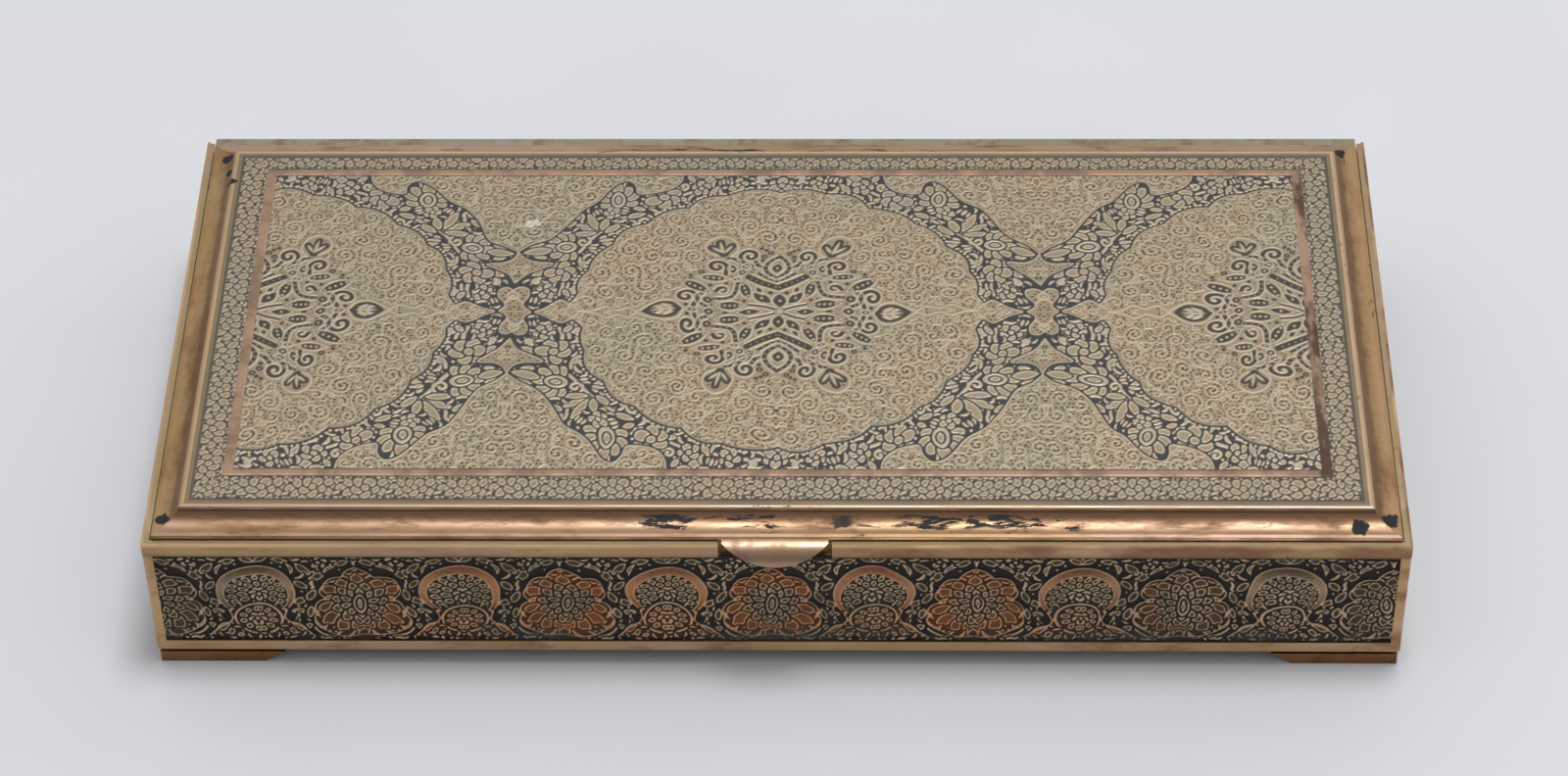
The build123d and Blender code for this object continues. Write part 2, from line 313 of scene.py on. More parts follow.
def soften(layer, times=1):
    """Blurs a layer: each pass weighs a cell twice against each of its neighbours, along and across."""
    for _ in range(times):
        for axis in (0, 1):
            layer = (np.roll(layer, 1, axis) + 2 * layer + np.roll(layer, -1, axis)) / 4
    return layer


def wander(x, y, length, rng):
    """A smooth wandering number of about unit size: a sum of sine waves in random directions, none
    shorter than length."""
    waves = 10
    total = np.zeros(np.broadcast(x, y).shape)
    for _ in range(waves):
        a, phase = rng.uniform(0, 2 * math.pi, 2)
        k = 2 * math.pi / (length * rng.uniform(1, 2.2))
        total += np.sin(k * (x * math.cos(a) + y * math.sin(a)) + phase)
    return total / math.sqrt(waves / 2)


def settle(board, free, rng, radii, gap=0.0):
    """Circles that fill a free area: darts are thrown, largest circle first, and one is kept where it
    lies inside the area and clear of the circles before it. Returns rows of x, y and radius."""
    kept = np.zeros((0, 3))
    ring = np.linspace(0, 2 * math.pi, 12, endpoint=False)
    low, high = board.low, board.low + board.cell * (np.array(board.shape) - 1)
    for radius, tries in radii:
        darts = rng.uniform(low, high, (tries, 2))
        rim = board.look(free, darts[:, :1] + radius * np.cos(ring), darts[:, 1:] + radius * np.sin(ring))
        for x, y in darts[rim.min(axis=1) > 0.5]:
            if not (np.hypot(kept[:, 0] - x, kept[:, 1] - y) < kept[:, 2] + radius + gap).any():
                kept = np.vstack([kept, (x, y, radius)])
    return kept


DOT = 0.2  # radius of the punched dots and small beads


def scatter_scrolls(board, free, rng, radii):
    """Fills a free area with spirals that have punched dots between their turns, then with curls
    round a dot and with commas."""
    width, between = 0.25, 0.42
    for x, y, radius in settle(board, free, rng, radii):
        start, hand, height = rng.uniform(0, 2 * math.pi), rng.choice([-1, 1]), rng.uniform(0.75, 1.0)
        if radius > 1.0:
            turns = radius / 0.95
            board.line(curl(x, y, radius, turns, start, hand, tail=radius * 1.2), width, height)
            track = curl(x, y, radius - between, turns * (1 - between / radius), start, hand)
            board.bosses(board.pit, spaced(track, 0.72), DOT)
        elif radius > 0.45:
            board.line(curl(x, y, radius, 1.0, start, hand, tail=radius * 1.4), width, height)
            board.bosses(board.pit, [(x, y)], DOT)
        else:
            way = unit(start) * radius * 1.3
            comma = [(x, y) - way, (x, y) - left(way) * 0.5, (x, y) + way]
            board.line(smooth_path(comma), width, 0.9 * height)


def scatter_leaves(board, free, rng, radii, gap=0.2):
    """Fills a free area with flowers, sprigs of three leaves, bent single leaves and beads."""
    for x, y, radius in settle(board, free, rng, radii, gap):
        turn = rng.uniform(0, 2 * math.pi)
        here, way = np.array([x, y]), unit(turn)
        side = left(way)
        if radius > 1.2:
            board.rosette(x, y, radius * 1.1, 5, turn, gap=0.13)
        elif radius > 0.7:
            root = here - 0.95 * radius * way
            for bend in (-1, 1, 0):
                tip = here + (0.95 * way + 0.05 * abs(bend) * way + 0.95 * bend * side) * radius
                middle = (root + tip) / 2 + 0.28 * bend * radius * side - 0.12 * abs(bend) * radius * way
                board.leaf(smooth_path([root, middle, tip]), radius * 0.72, gap=0.16)
        elif radius > 0.3:
            tips = 1.9 * radius * way
            path = smooth_path([here - tips, here + 0.65 * radius * side, here + tips])
            board.leaf(path, radius * 1.1, gap=0.15)
        else:
            board.bosses(board.rise, [(x, y)], radius * 1.1)


def punch(board, free, rng):
    """Punched dots on a jittered grid of rows, where the free area has no raised line and no dot."""
    pitch, radius, jitter = 0.7, 0.21, 0.17
    steps = (pitch, pitch * 0.87)
    span, rows = (np.arange(0, board.cell * n, step) for n, step in zip(board.shape, steps))
    dots = np.stack(np.meshgrid(span, rows, indexing="ij"), -1)
    dots[:, 1::2, 0] += pitch / 2
    dots = dots.reshape(-1, 2) + board.low
    dots = dots + rng.uniform(-jitter, jitter, dots.shape)
    busy = soften(np.maximum(board.rise, 2 * board.pit), 3)
    clear = (board.look(free, *dots.T) > 0.5) & (board.look(busy, *dots.T) < 0.34)
    board.bosses(board.pit, dots[clear], radius * rng.uniform(0.8, 1.15, clear.sum()))


def ease(value, low, high):
    """A value's share of the way from low to high, kept between nought and one."""
    return np.clip((value - low) / (high - low), 0, 1)


def outlined(rise):
    """Solid forms as body and relief: the relief stands highest along a form's rim and lower inside."""
    mask = (rise > 0.12).astype(np.float32)
    body = ease(soften(mask, 3), 0.38, 0.72)
    return body, body * (1 - 0.55 * ease(soften(mask, 14), 0.9, 0.985))


LIGHT_LINE = 0.34  # width of the light lines along the dark bands


def strap(board, path, width, beads):
    """A dark band along a path, between two light lines, with beads that far apart along its middle."""
    board.darken(path, width / 2)
    for side in (-1, 1):
        board.line(offset(path, side * (width + LIGHT_LINE) / 2), LIGHT_LINE)
    if beads:
        board.bosses(board.rise, spaced(path, beads), DOT)


def dark_leaf(board, start, end, width, beads):
    """A pointed leaf of dark ground in a light outline, with beads."""
    a, b = np.asarray(start, float), np.asarray(end, float)
    t = np.linspace(0.04, 0.96, max(6, int(np.hypot(*(b - a)) / 0.08)))
    radius = width / 2 * np.sin(np.pi * t) ** 0.6 + 0.12
    board.bosses(board.ground, a + t[:, None] * (b - a), radius, SOLID)
    board.line(lens(a, b, width * 1.3), 0.36)
    count = beads + 1 if beads > 1 else beads
    board.bosses(board.rise, a + (b - a) * np.linspace(0, 1, count + 2)[1:-1, None], 0.33, 1.1)


def star_motif(board):
    """The strapwork star in the middle of a medallion, first quadrant: eight petals round the middle,
    beaded chevrons, paired volutes, a corner leaf and a finial."""
    for path, width, beads in [
        ([(-0.2, 4.8), (2, 6), (4.2, 7.4)], 1.05, 1),
        ([(-0.2, 6.1), (1.2, 6.9), (2.6, 8)], 0.5, 1),
        ([(0, 6.9), (1.3, 8.1), (1.75, 9.4), (1.2, 10.8), (0, 12)], 0.6, 1),
        ([(5.9, 6.2), (6.1, 4.6), (6.7, 3.5), (7.9, 3), (9.3, 2.8)], 0.6, 1),
        ([(0.75, 0.5), (2.2, 1.1), (4, 1.55)], 0.4, 0),
        ([(10.6, 1), (11.5, 1.6), (11.7, 2.9), (11, 3.9)], 0.6, 1),
        ([(2.2, 9.4), (3, 9.9), (3.5, 10.9)], 0.6, 1),
        ([(5.9, 10.7), (6.6, 11.4), (7.4, 11.6)], 0.55, 1),
    ]:
        strap(board, smooth_path(path), width, beads)
    hull = board.inside([(-1, 12.6), (2.6, 14.2), (6.2, 13.9), (7.2, 12), (10.6, 11.4), (11.2, 9.2),
                         (14.6, 7.2), (14, 5.2), (15.4, 4.4), (15.4, 2), (14, 0.6), (14, -1), (-1, -1)])
    for x, y, r, start, hand, turns in [(13.4, 2.8, 1.75, 215, -1, 1.25), (4.3, 12, 1.75, -70, 1, 1.25),
                                        (9.1, 9.7, 1.45, 200, -1, 1.2), (8.2, 4.7, 0.75, 20, 1, 0.85)]:
        strap(board, curl(x, y, r, turns, math.radians(start), hand, tail=0.7 * r)[:-6], 0.6, 0)
        board.bosses(board.rise, [(x, y)], 0.33)
    for start, end, width, beads in [
        ((0, 0.6), (0, 3.9), 1.5, 1), ((1, 1.6), (3.4, 4.2), 1.4, 1), ((2.2, 0), (5.9, 0), 1.2, 1),
        ((4.6, 1.5), (9.3, 1.5), 1.6, 4), ((3.8, 2.7), (5.3, 6.7), 1.4, 3), ((9.8, 3.9), (14.4, 6.7), 1.5, 4),
        ((9.2, 0), (11.2, 0), 1.3, 1), ((7.2, 7.1), (12, 7.4), 1.2, 4), ((4.6, 8.2), (6.1, 8.7), 1.2, 1),
        ((6.7, 8.1), (7.1, 10.3), 1.1, 1), ((4, 9.6), (5.7, 9.8), 1.1, 1), ((0, 7.9), (0, 10.4), 1.4, 1),
        ((5.3, 7.2), (7, 6.9), 0.7, 1), ((11.8, 0), (13.6, 0), 0.8, 1), ((2, 3.6), (2.9, 5.4), 0.7, 0),
    ]:
        dark_leaf(board, start, end, width, beads)
    board.bosses(board.rise, [(0, 0)], 0.5)
    calm = (hull & (soften(np.maximum(board.rise, board.ground), 2) < 0.08)).astype(float)
    radii = [(0.62, 4000), (0.45, 6000), (0.3, 9000)]
    for x, y, r in settle(board, calm, np.random.default_rng(sizes().seed), radii, 0.12):
        board.bosses(board.ground, [(x, y)], r * 1.1, SOLID)
        if r > 0.4:
            board.bosses(board.rise, [(x, y)], r * 0.5)
    leaf = [((8.1, 12.5), (8.8, 15.4)), ((8, 12.8), (6.9, 14.5)), ((8.2, 12.8), (9.9, 14.1))]
    crest = [((14.9, 0), (18.6, 0)), ((15.4, 0.1), (16.9, 1.3)), ((16.6, 0.1), (17.8, 0.95))]
    for a, b in leaf:
        board.darken(np.linspace(a, b, 14), 0.6)
    board.darken(smooth_path([(14.6, 0), (15.4, 1.15), (16.8, 1.5), (18.2, 0.95), (19.2, 0)]), 0.26)
    board.darken(np.linspace((14.6, 0), (18.9, 0), 30), 0.42)
    board.petals([(a, b, 0.72) for a, b in leaf + crest], gap=0)
    for path, width in [
        ([(7, 12.1), (6.1, 13.6), (6.9, 15.7), (8.9, 16.5), (10.6, 15), (10.4, 13.1), (8.9, 12.1)], 0.32),
        ([(13.9, 0), (15, 1.75), (17, 2.15), (18.6, 1.3), (20.4, 0)], 0.32),
        ([(20.2, 0), (21.6, 1), (23.6, 0.5), (25.2, 1.2), (27, 0.3), (29, 0)], 0.28),
    ]:
        board.line(smooth_path(path), width)


MEDALLION = [(0, 26.5), (7.2, 26.2), (13.2, 23), (19.8, 19.2), (24.6, 14.2), (27.7, 8.4), (28.6, 3.6),
             (30.2, 1.2)]
# The light areas outside the medallion: a curve up to the last two points, which are corners
SPANDREL = [(38.35, 13), (36.6, 14.6), (34.2, 15.9), (32.6, 18), (31.2, 20.4), (29.6, 23), (27.4, 24.8),
            (25.8, 27), (24.4, 28.6), (23, 29.4), (21.9, 29.2), (21.2, 28), (20.8, 26.4), (18.6, 26.6),
            (16.6, 27.6), (15.4, 29.4), (15, 32), (40, 32), (40, 13)]
OGEE = [(38.35, 12.9), (37.6, 11.4), (36.2, 10.6), (33.6, 10.3), (35.4, 8.9), (37, 7.8), (38.35, 5.8),
        (40, 5.8), (40, 12.9)]
KNOT = [(38.35, 4.4), (37.4, 5), (36.3, 4.6), (36.2, 3.2), (37, 1.8), (36.9, 0.9), (36, 0),
        (36, -1), (40, -1), (40, 4.4)]
LINK = [(29, 0.2), (29.9, 1.4), (31.2, 2.3), (32.4, 1.8), (33.8, 0.8), (35.4, 0.15), (35.4, -1), (29, -1)]

# Radii of the scattered forms, each with the number of darts thrown for it
SCROLLS = [(1.75, 250), (1.4, 900), (1.1, 2500), (0.85, 4000), (0.6, 7000), (0.42, 9000), (0.3, 12000)]
LEAVES = [(2.1, 1500), (1.6, 2500), (1.25, 4000), (0.95, 6000), (0.72, 9000), (0.5, 12000), (0.36, 12000),
          (0.27, 9000), (0.18, 12000)]
FIELD_LEVEL = 0.45  # how high the flat ground of the fine work lies between the dots and the ridges


def fine_ground(board, where):
    """Within the light areas, puts the flat ground between the punched dots and the ridges."""
    flat = FIELD_LEVEL + (1 - FIELD_LEVEL) * np.clip(board.rise * 1.35, 0, 1)
    dug = FIELD_LEVEL * np.clip(board.pit * 2, 0, 1) * (board.rise < 0.5)
    board.rise = np.where(where & (board.ground < 0.5), flat - dug, board.rise)


def field_tile(rng):
    """An eighth of the lid's main field, from a medallion's middle to the middle of the crossing
    beside it. The whole field is this tile, mirrored over and over."""
    board = Board((-2.0, -2.0), (40.4, 33.0))
    outline = lobes(MEDALLION, [0.16, 0.15, 0.14, 0.15, 0.14, 0.12, -0.06])
    medallion = board.inside(np.vstack([outline, [(30.2, -4), (-4, -4), (-4, 26.5)]]))
    shapes = (SPANDREL, OGEE, KNOT, LINK)
    spandrel, ogee, knot, link = (board.inside(smooth_path(s[:-2], 0.2).tolist() + s[-2:]) for s in shapes)
    light = medallion | spandrel | ogee | knot | link
    edges = [outline] + [smooth_path(s[:-2]) for s in shapes]
    rims, band = board.blank(), board.blank()
    for edge in edges:
        rims.line(edge, 0.78)
    band_work(band)
    gaps = (~light & (soften(band.rise, 2) < 0.03) & (rims.rise < 0.25)).astype(float)
    scatter_leaves(band, gaps, rng, LEAVES)
    band.bosses(band.rise, spaced(offset(outline, 0.55), 0.8), 0.3)
    star_motif(board)
    star = soften(np.maximum(board.rise, board.ground), 10) > 0.02
    scatter_scrolls(board, (medallion & ~star).astype(float), rng, SCROLLS)
    scatter_scrolls(board, spandrel.astype(float), rng, SCROLLS[1:])
    board.line(curl(38.35, 3.2, 1.2, 1.0, 0.6, 1), 0.28)
    board.line(smooth_path([(36.2, 0.6), (37.4, 2.2), (38.35, 3.4)]), 0.28)
    scatter_scrolls(board, (ogee | link).astype(float), rng, [(0.7, 500), (0.45, 900)])
    punch(board, (light & ~star).astype(float), rng)
    fine_ground(board, light)
    body, relief = outlined(band.rise)
    board.rise = np.where(light, board.rise, relief * (rims.rise < 0.45))
    board.ground = np.where(light, 0.5 * np.clip(board.ground, 0, 1), 1 - body * (rims.rise < 0.45))
    for edge in edges:
        board.line(edge, LIGHT_LINE)
    return board


def band_work(board):
    """Flowers, palmettes, leaves and vines on the dark ground of the bands, first quadrant."""
    stem = smooth_path([(-1, 28.6), (4, 29.3), (8.5, 28.2), (13, 26.9), (17.2, 24.6), (21.6, 21.2),
                        (26.4, 17.4), (29, 13.6), (31.6, 9.6), (31.2, 5.4), (31.6, 3.4)])
    board.line(stem, 0.5)
    for x, y, r, t, h in [(28.9, 15.2, 1.3, 100, 1), (20.6, 23.6, 1.1, -40, -1), (30.4, 21.2, 1, 200, -1),
                          (15, 28, 1.1, 0, -1), (35.6, 6.4, 0.9, 90, 1), (29.8, 4.2, 0.9, 30, -1),
                          (25.9, 28.2, 0.8, 120, 1), (3, 30, 0.9, 120, -1)]:
        board.line(curl(x, y, r, 1.2, math.radians(t), h, tail=r * 1.2), 0.45, gap=0.12)
    board.petals([
        ((26.5, 17.6), (30.8, 19.4), 1.4), ((26.8, 17.9), (28.8, 22.2), 1.5), ((26.9, 17.2), (31, 16.8), 1.2),
        ((26.2, 17.9), (25.4, 20.8), 1.4), ((25.8, 17.2), (23.2, 19.4), 1.2),
        ((22.5, 20.9), (19.8, 21.8), 1.1), ((15.8, 25.2), (13.6, 24.8), 1), ((27.6, 25.2), (29.2, 23.4), 1.2),
        ((29.4, 11.8), (28.6, 9), 1.1), ((30.2, 9.8), (29.6, 7), 1), ((34.4, 8.6), (36.4, 7.4), 1.1),
        ((8.8, 28.6), (10.2, 26.6), 1.1), ((34.2, 5.6), (35.6, 4.4), 0.9), ((31, 4.4), (30, 2.9), 0.9),
        ((13.4, 29.2), (14.4, 30.6), 1), ((19.9, 22.6), (21.6, 23.2), 0.9), ((30.4, 20), (32, 18.6), 1),
        ((32.6, 17), (34.6, 15.4), 1.1), ((34.6, 14.6), (37.4, 14), 1.1), ((34.6, 11.6), (36.6, 11.8), 0.9),
        ((20.6, 28), (20.2, 30.8), 1.2),
    ])
    board.palmette(24, 25, math.radians(85), 3.4)
    board.palmette(31.6, 14, math.radians(-5), 3.2)
    board.petal((33.9, 13.4), (37.8, 12.6), 1.7)
    for x, y, radius, petals, turn in [
        (17.6, 25.4, 2.4, 6, 0.5), (32.2, 8.4, 2.3, 6, 0.9), (0, 28.6, 1.8, 6, 0.5),
        (12, 27.8, 1.6, 5, 0.1), (6.2, 29, 1.5, 5, 0.4), (33.6, 4.2, 1.5, 5, 0.4),
    ]:
        board.rosette(x, y, radius, petals, turn)


def border_tile(pitch, rng):
    """One repeat of the lid's border: a rosette between leaf pairs, on a ground of small leaves and
    beads. x runs along the border and y outwards from the strip."""
    board = Board((-pitch / 2 - 1, -0.4), (pitch / 2 + 1, 5.2))
    for shift in (-pitch, 0, pitch):
        for side in (-1, 1):
            for ends, middle in ((4.4, 3.6), (0.3, 1.1)):
                stem = [(shift + side * x, y) for x, y in ((0.6, ends), (1.9, middle), (3.6, ends))]
                board.line(smooth_path(stem), 0.4)
            for x, y, tip_x, tip_y, width in [(2.3, 2.3, 3.9, 2.5, 1.5), (1.6, 2.6, 2.9, 3.9, 1.2),
                                              (1.6, 2.0, 2.9, 0.7, 1.2)]:
                board.petal((shift + side * x, y), (shift + side * tip_x, tip_y), width)
        board.rosette(shift, 2.3, 1.75, 5, 0.3)
    gaps = (soften(board.rise, 2) < 0.05).astype(float)
    scatter_leaves(board, gaps, rng, [(0.4, 1500), (0.28, 3000), (0.2, 4000)])
    body, board.rise = outlined(board.rise)
    board.ground = 1 - body
    return board


CROWN_SHIFT, CROWN, HALF_FIELD = 0.95, 1.25, 30.9  # how the drawing is raised in its middle, and its half


def unbend(v):
    """From height on the plate to height in the drawing, which is raised a little in its middle:
    three steps along the tangent to solve v = d + shift + crown (1 - (d / half) squared)."""
    d = v - CROWN_SHIFT
    for _ in range(3):
        slope = 1 - 2 * CROWN * d / HALF_FIELD**2
        d = d - (d + CROWN_SHIFT + CROWN * (1 - (d / HALF_FIELD) ** 2) - v) / slope
    return d


STRIP = (76.2, 31.9, -29.95)  # inner edges of the plain strip: right and left, back, front
STRIP_WIDTH = 1.3
BORDER_WIDTH = 5.0
GROOVE = 0.14  # half width of the grooves along the strip


def lid_relief(x, y):
    """Height, dark ground and copper of the whole lid plate at x and y, in millimetres.

    The field is the folded tile, the plain strip is flat, and the border is one repeat carried round,
    measured outwards from the strip. The mirrored copies are kept apart by a wandering shift."""
    rng = np.random.default_rng(sizes().seed)
    pitch = sizes().medallion_pitch * MM
    tile = field_tile(rng)
    tile.rise, tile.ground = soften(tile.rise, 1), soften(tile.ground, 1)
    xs, ys = (v + 0.22 * wander(x, y, 9, rng) for v in (x, y))
    fold = np.abs((xs + 0.3 + pitch / 2) % pitch - pitch / 2)
    drawn = np.abs(unbend(ys))
    rise, ground = tile.look(tile.rise, fold, drawn), tile.look(tile.ground, fold, drawn)
    out_x = np.abs(x) - STRIP[0]
    out_y = np.maximum(y - STRIP[1], STRIP[2] - y)
    out = np.maximum(out_x, out_y)
    step = sizes().rosette_pitch * MM
    border = border_tile(step, rng)
    along = np.where(out_x > out_y, ys, xs)
    along = (along + step / 2) % step - step / 2
    deep = out - STRIP_WIDTH + 0.12 * wander(x, y, 5, rng)
    deep = np.clip(deep, 0, BORDER_WIDTH)
    strip = (out > 0) & (out < STRIP_WIDTH)
    outside = out >= STRIP_WIDTH
    rise = np.where(outside, 0.08 + 0.8 * border.look(soften(border.rise, 1), along, deep), rise)
    ground = np.where(outside, 0.12 + 0.34 * border.look(soften(border.ground, 1), along, deep), ground)
    groove = np.minimum(np.abs(out), np.abs(out - STRIP_WIDTH)) < GROOVE
    rise = np.where(strip, 0.75, rise) * np.where(groove, 0.1, 1.0)
    ground = np.where(strip, 0.0, ground) + 0.8 * groove
    return rise, np.clip(ground, 0, 1), np.where(strip, 1.0, 0.0)


LOBED = [(0, 19.5), (-2.3, 17.5), (-5.2, 15.6), (-4.7, 13), (-6.4, 10), (-5.4, 6.9), (0, 5.9)]


def panel_tile(pitch, rng):
    """One repeat of the walls' frieze, from a lobed medallion with a lotus in it to the crested fan
    beside it, on a dark ground with leaves and beads. x runs from the medallion's middle, y is the
    height above the table."""
    board = Board((-1.2, 3.4), (pitch + 1.2, 23))
    outline = lobes([(-x, y) for x, y in LOBED], [0.12, 0.22, 0.25, 0.22, 0.25, 0.12])
    medallion = board.inside(np.vstack([outline, [(-3, 5.9), (-3, 19.5)]]))
    fx = pitch
    ring = np.linspace(-math.radians(38), math.radians(218), 120)
    crest, crease = oval(fx, 14.5, 5.6, 5.3, ring), oval(fx, 13.8, 4.6, 4.4, ring)
    foot = smooth_path([(fx - 7.6, 5.4), (fx - 5.9, 7), (fx - 3.7, 8.8), (fx - 4.1, 10.9)])
    fan = board.inside(crest)
    crescent = fan & ~board.inside(crease)
    base = board.inside(np.vstack([foot, [(fx, 12), (fx + 3, 12), (fx + 3, 5.4)]])) & ~fan
    light = medallion | fan | base
    vine = [(5.2, 21.3), (6.6, 19.4), (7, 16.6), (7.3, 13.4), (7.9, 10.6), (7.4, 8.2), (5.6, 6), (2, 5.3)]
    board.line(smooth_path(vine), 0.4)
    board.petals([
        ((6.8, 17), (4.6, 18.9), 1.5), ((6.6, 18.2), (8.6, 20.6), 1.5), ((7.1, 15.2), (8.8, 16.9), 1.3),
        ((7.3, 13.2), (9.2, 12), 1.3), ((7.3, 12.6), (6.1, 15), 1.3), ((7.9, 10.6), (9.8, 10.4), 1.2),
        ((7.5, 9.2), (6.9, 11.6), 1.1), ((9.4, 20.6), (12, 21.2), 1.2), ((0.8, 21), (3.4, 20), 1.2),
        ((12.4, 21.6), (14.6, 20.6), 1.1), ((7.2, 8), (8.6, 6.6), 1.1),
    ])
    board.rosette(5.4, 20.8, 1.2, 5, 0.3)
    rims = board.blank()
    for edge in (outline, crest, foot):
        rims.line(edge, 1.1)
    gaps = (~light & (soften(board.rise, 2) < 0.05) & (rims.rise < 0.1)).astype(float)
    scatter_leaves(board, gaps, rng, [(0.9, 900), (0.66, 1600), (0.5, 2600), (0.36, 4000), (0.26, 6000)])
    board.rise[light] = 0
    hub = np.array([0, 12.2])
    for reaches, root, width in [
        ([(92, 6.6), (58, 5.6), (32, 6.2), (8, 4.8), (-12, 6.1), (-34, 7), (-56, 6.4), (-80, 5.7)], 3, 2.35),
        ([(78, 4.4), (46, 4.3), (14, 4), (-18, 4.2), (-50, 4.3), (-82, 4.2)], 1.6, 1.65),
        ([(62, 3.1), (24, 2.9), (-14, 2.8), (-50, 2.8), (90, 3.3), (-90, 2.9)], 0.8, 1.15),
    ]:
        for angle, reach in reaches:
            way = unit(math.radians(angle))
            board.petal(hub + root * way, hub + reach * way, width, gap=0.18)
    board.petals([((0, 10.3), (0, 14.3), 1.9), ((0, 11.2), (0, 13.5), 0.7)])
    here = np.array([fx, 14])
    for count, root, reach, width in [(13, 2.7, 4.3, 1.15), (9, 1.6, 3, 1.1)]:
        for angle in np.linspace(-25, 205, count):
            way = unit(math.radians(angle))
            board.petal(here + root * way, here + reach * way * (1, 0.93), width, gap=0.13)
    board.rosette(fx, 14.2, 1.35, 7, 0.2, gap=0.13)
    low = np.array([fx, 9.3])
    board.line(oval(*low, 3.2, 2.9, np.linspace(0, 2 * math.pi, 120)), 0.4, gap=0.15)
    for angle in np.linspace(0, 2 * math.pi, 11, endpoint=False):
        board.petal(low + unit(angle) * (1.5, 1.4), low + unit(angle) * (2.7, 2.4), 0.95, gap=0.12)
    board.rosette(*low, 1.2, 6, 0.2, gap=0.12)
    board.petals([((fx - 4.2, 8.2), (fx - 6.6, 6.1), 1.3), ((fx - 3.9, 7.2), (fx - 4.6, 5.6), 1),
                  ((fx - 2.6, 6.3), (fx - 3.6, 5.6), 0.8)])
    gaps = (light & ~crescent & (soften(board.rise, 2) < 0.05)).astype(float)
    scatter_leaves(board, gaps, rng, [(0.5, 1500), (0.34, 3000), (0.24, 5000)], 0.14)
    body, board.rise = outlined(board.rise)
    x, y = np.broadcast_arrays(board.x, board.y)
    board.ground = (1 - body) * np.where(light, 0.62, 1)
    outer = np.clip((np.hypot(x - hub[0], y - hub[1]) - 3) / 1.5, 0.15, 1)
    board.copper = np.where(medallion, outer, np.where(base, 0.5, 0)).astype(np.float32)
    swell = np.sin(np.pi * np.clip((y - 11) / 9, 0, 1)) ** 0.5
    board.rise[crescent] = (0.35 + 0.4 * swell)[crescent]
    board.copper[crescent] = 1.0
    board.ground[crescent] = 0
    for edge, width in ((crest, 0.42), (crease, 0.36), (outline, 0.42), (foot, 0.4)):
        board.line(edge, width)
        board.bosses(board.copper, edge, width * 0.7, 1.5)
    board.copper = np.clip(board.copper, 0, 1)
    return board


def panel_relief(x, z, shift, rng):
    """Height, dark ground and copper of a wall at x along it and z above the table: the frieze's
    repeat, mirrored about each medallion and each fan."""
    pitch = sizes().cartouche_pitch * MM
    tile = panel_tile(pitch, np.random.default_rng(sizes().seed + 1))
    xs = x + shift + 0.2 * wander(x, z, 7, rng)
    zs = z + 0.15 * wander(x, z, 7, rng)
    fold = np.abs((xs + pitch) % (2 * pitch) - pitch)
    layers = (soften(tile.rise, 1), soften(tile.ground, 1), soften(tile.copper, 1))
    return [tile.look(layer, fold, zs) for layer in layers]


# Meshes


def relief_slab(name, across, up, lift, origin, axes, back, attributes, slopes=None):
    """A closed slab whose front is a grid of points: origin plus across and up along the first two
    axes, plus the lift along the third. A skirt runs from its edge to the flat back, which is a fan
    of triangles about its middle. Normals on the front follow the slopes of the lift."""
    a, u = np.meshgrid(across, up, indexing="ij")
    axes = np.asarray(axes, float)
    front = np.asarray(origin) + a[..., None] * axes[0] + u[..., None] * axes[1] + lift[..., None] * axes[2]
    n, m = a.shape
    index = np.arange(n * m).reshape(n, m)
    quads = np.stack([index[:-1, :-1], index[1:, :-1], index[1:, 1:], index[:-1, 1:]], -1).reshape(-1, 4)
    rim = np.concatenate([index[:-1, 0], index[-1, :-1], index[:0:-1, -1], index[0, :0:-1]])
    flat = front.reshape(-1, 3)
    skirt = flat[rim] + (back - lift.reshape(-1)[rim])[:, None] * axes[2]
    low = n * m + np.arange(len(rim))
    after = np.roll(np.arange(len(rim)), -1)
    sides = np.stack([rim, low, low[after], rim[after]], -1)
    hub = n * m + len(rim)
    middle = flat[[0, -1]].mean(0) + (back - lift.reshape(-1)[[0, -1]].mean()) * axes[2]
    points = np.vstack([flat, skirt, middle])
    fan = np.stack([low, np.full(len(rim), hub), low[after]], -1)
    if np.dot(np.cross(axes[0], axes[1]), axes[2]) < 0:
        quads, sides, fan = quads[:, ::-1], sides[:, ::-1], fan[:, ::-1]
    mesh = bpy.data.meshes.new(name)
    mesh.vertices.add(len(points))
    mesh.vertices.foreach_set("co", points.astype(np.float32).ravel())
    loops = np.concatenate([quads.ravel(), sides.ravel(), fan.ravel()]).astype(np.int32)
    starts = np.concatenate([np.arange(len(quads) + len(sides)) * 4,
                             (len(quads) + len(sides)) * 4 + np.arange(len(fan)) * 3]).astype(np.int32)
    mesh.loops.add(len(loops))
    mesh.loops.foreach_set("vertex_index", loops)
    mesh.polygons.add(len(starts))
    mesh.polygons.foreach_set("loop_start", starts)
    mesh.update(calc_edges=True)
    mesh.validate()
    for key, values in attributes.items():
        layer = mesh.attributes.new(key, "FLOAT", "POINT")
        full = np.zeros(len(points), np.float32)
        full[: n * m] = values.reshape(-1)
        layer.data.foreach_set("value", full)
    smooth = np.zeros(len(starts), bool)
    smooth[: len(quads)] = True
    mesh.polygons.foreach_set("use_smooth", smooth)
    if slopes is None:
        slopes = np.gradient(lift, across, up)
    normals = axes[2] - slopes[0][..., None] * axes[0] - slopes[1][..., None] * axes[1]
    full = np.tile(axes[2], (len(points), 1))
    full[: n * m] = normals.reshape(-1, 3)
    full /= np.linalg.norm(full, axis=1, keepdims=True)
    mesh.normals_split_custom_set_from_vertices(full.astype(np.float32))
    piece = bpy.data.objects.new(name, mesh)
    bpy.context.scene.collection.objects.link(piece)
    return piece


def dress(piece, material, body, replaces=()):
    """Gives a new piece its material, its body and the nodes that it stands for."""
    piece.data.materials.clear()
    piece.data.materials.append(material)
    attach(piece, body)
    if replaces:
        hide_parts(*replaces)
    return piece


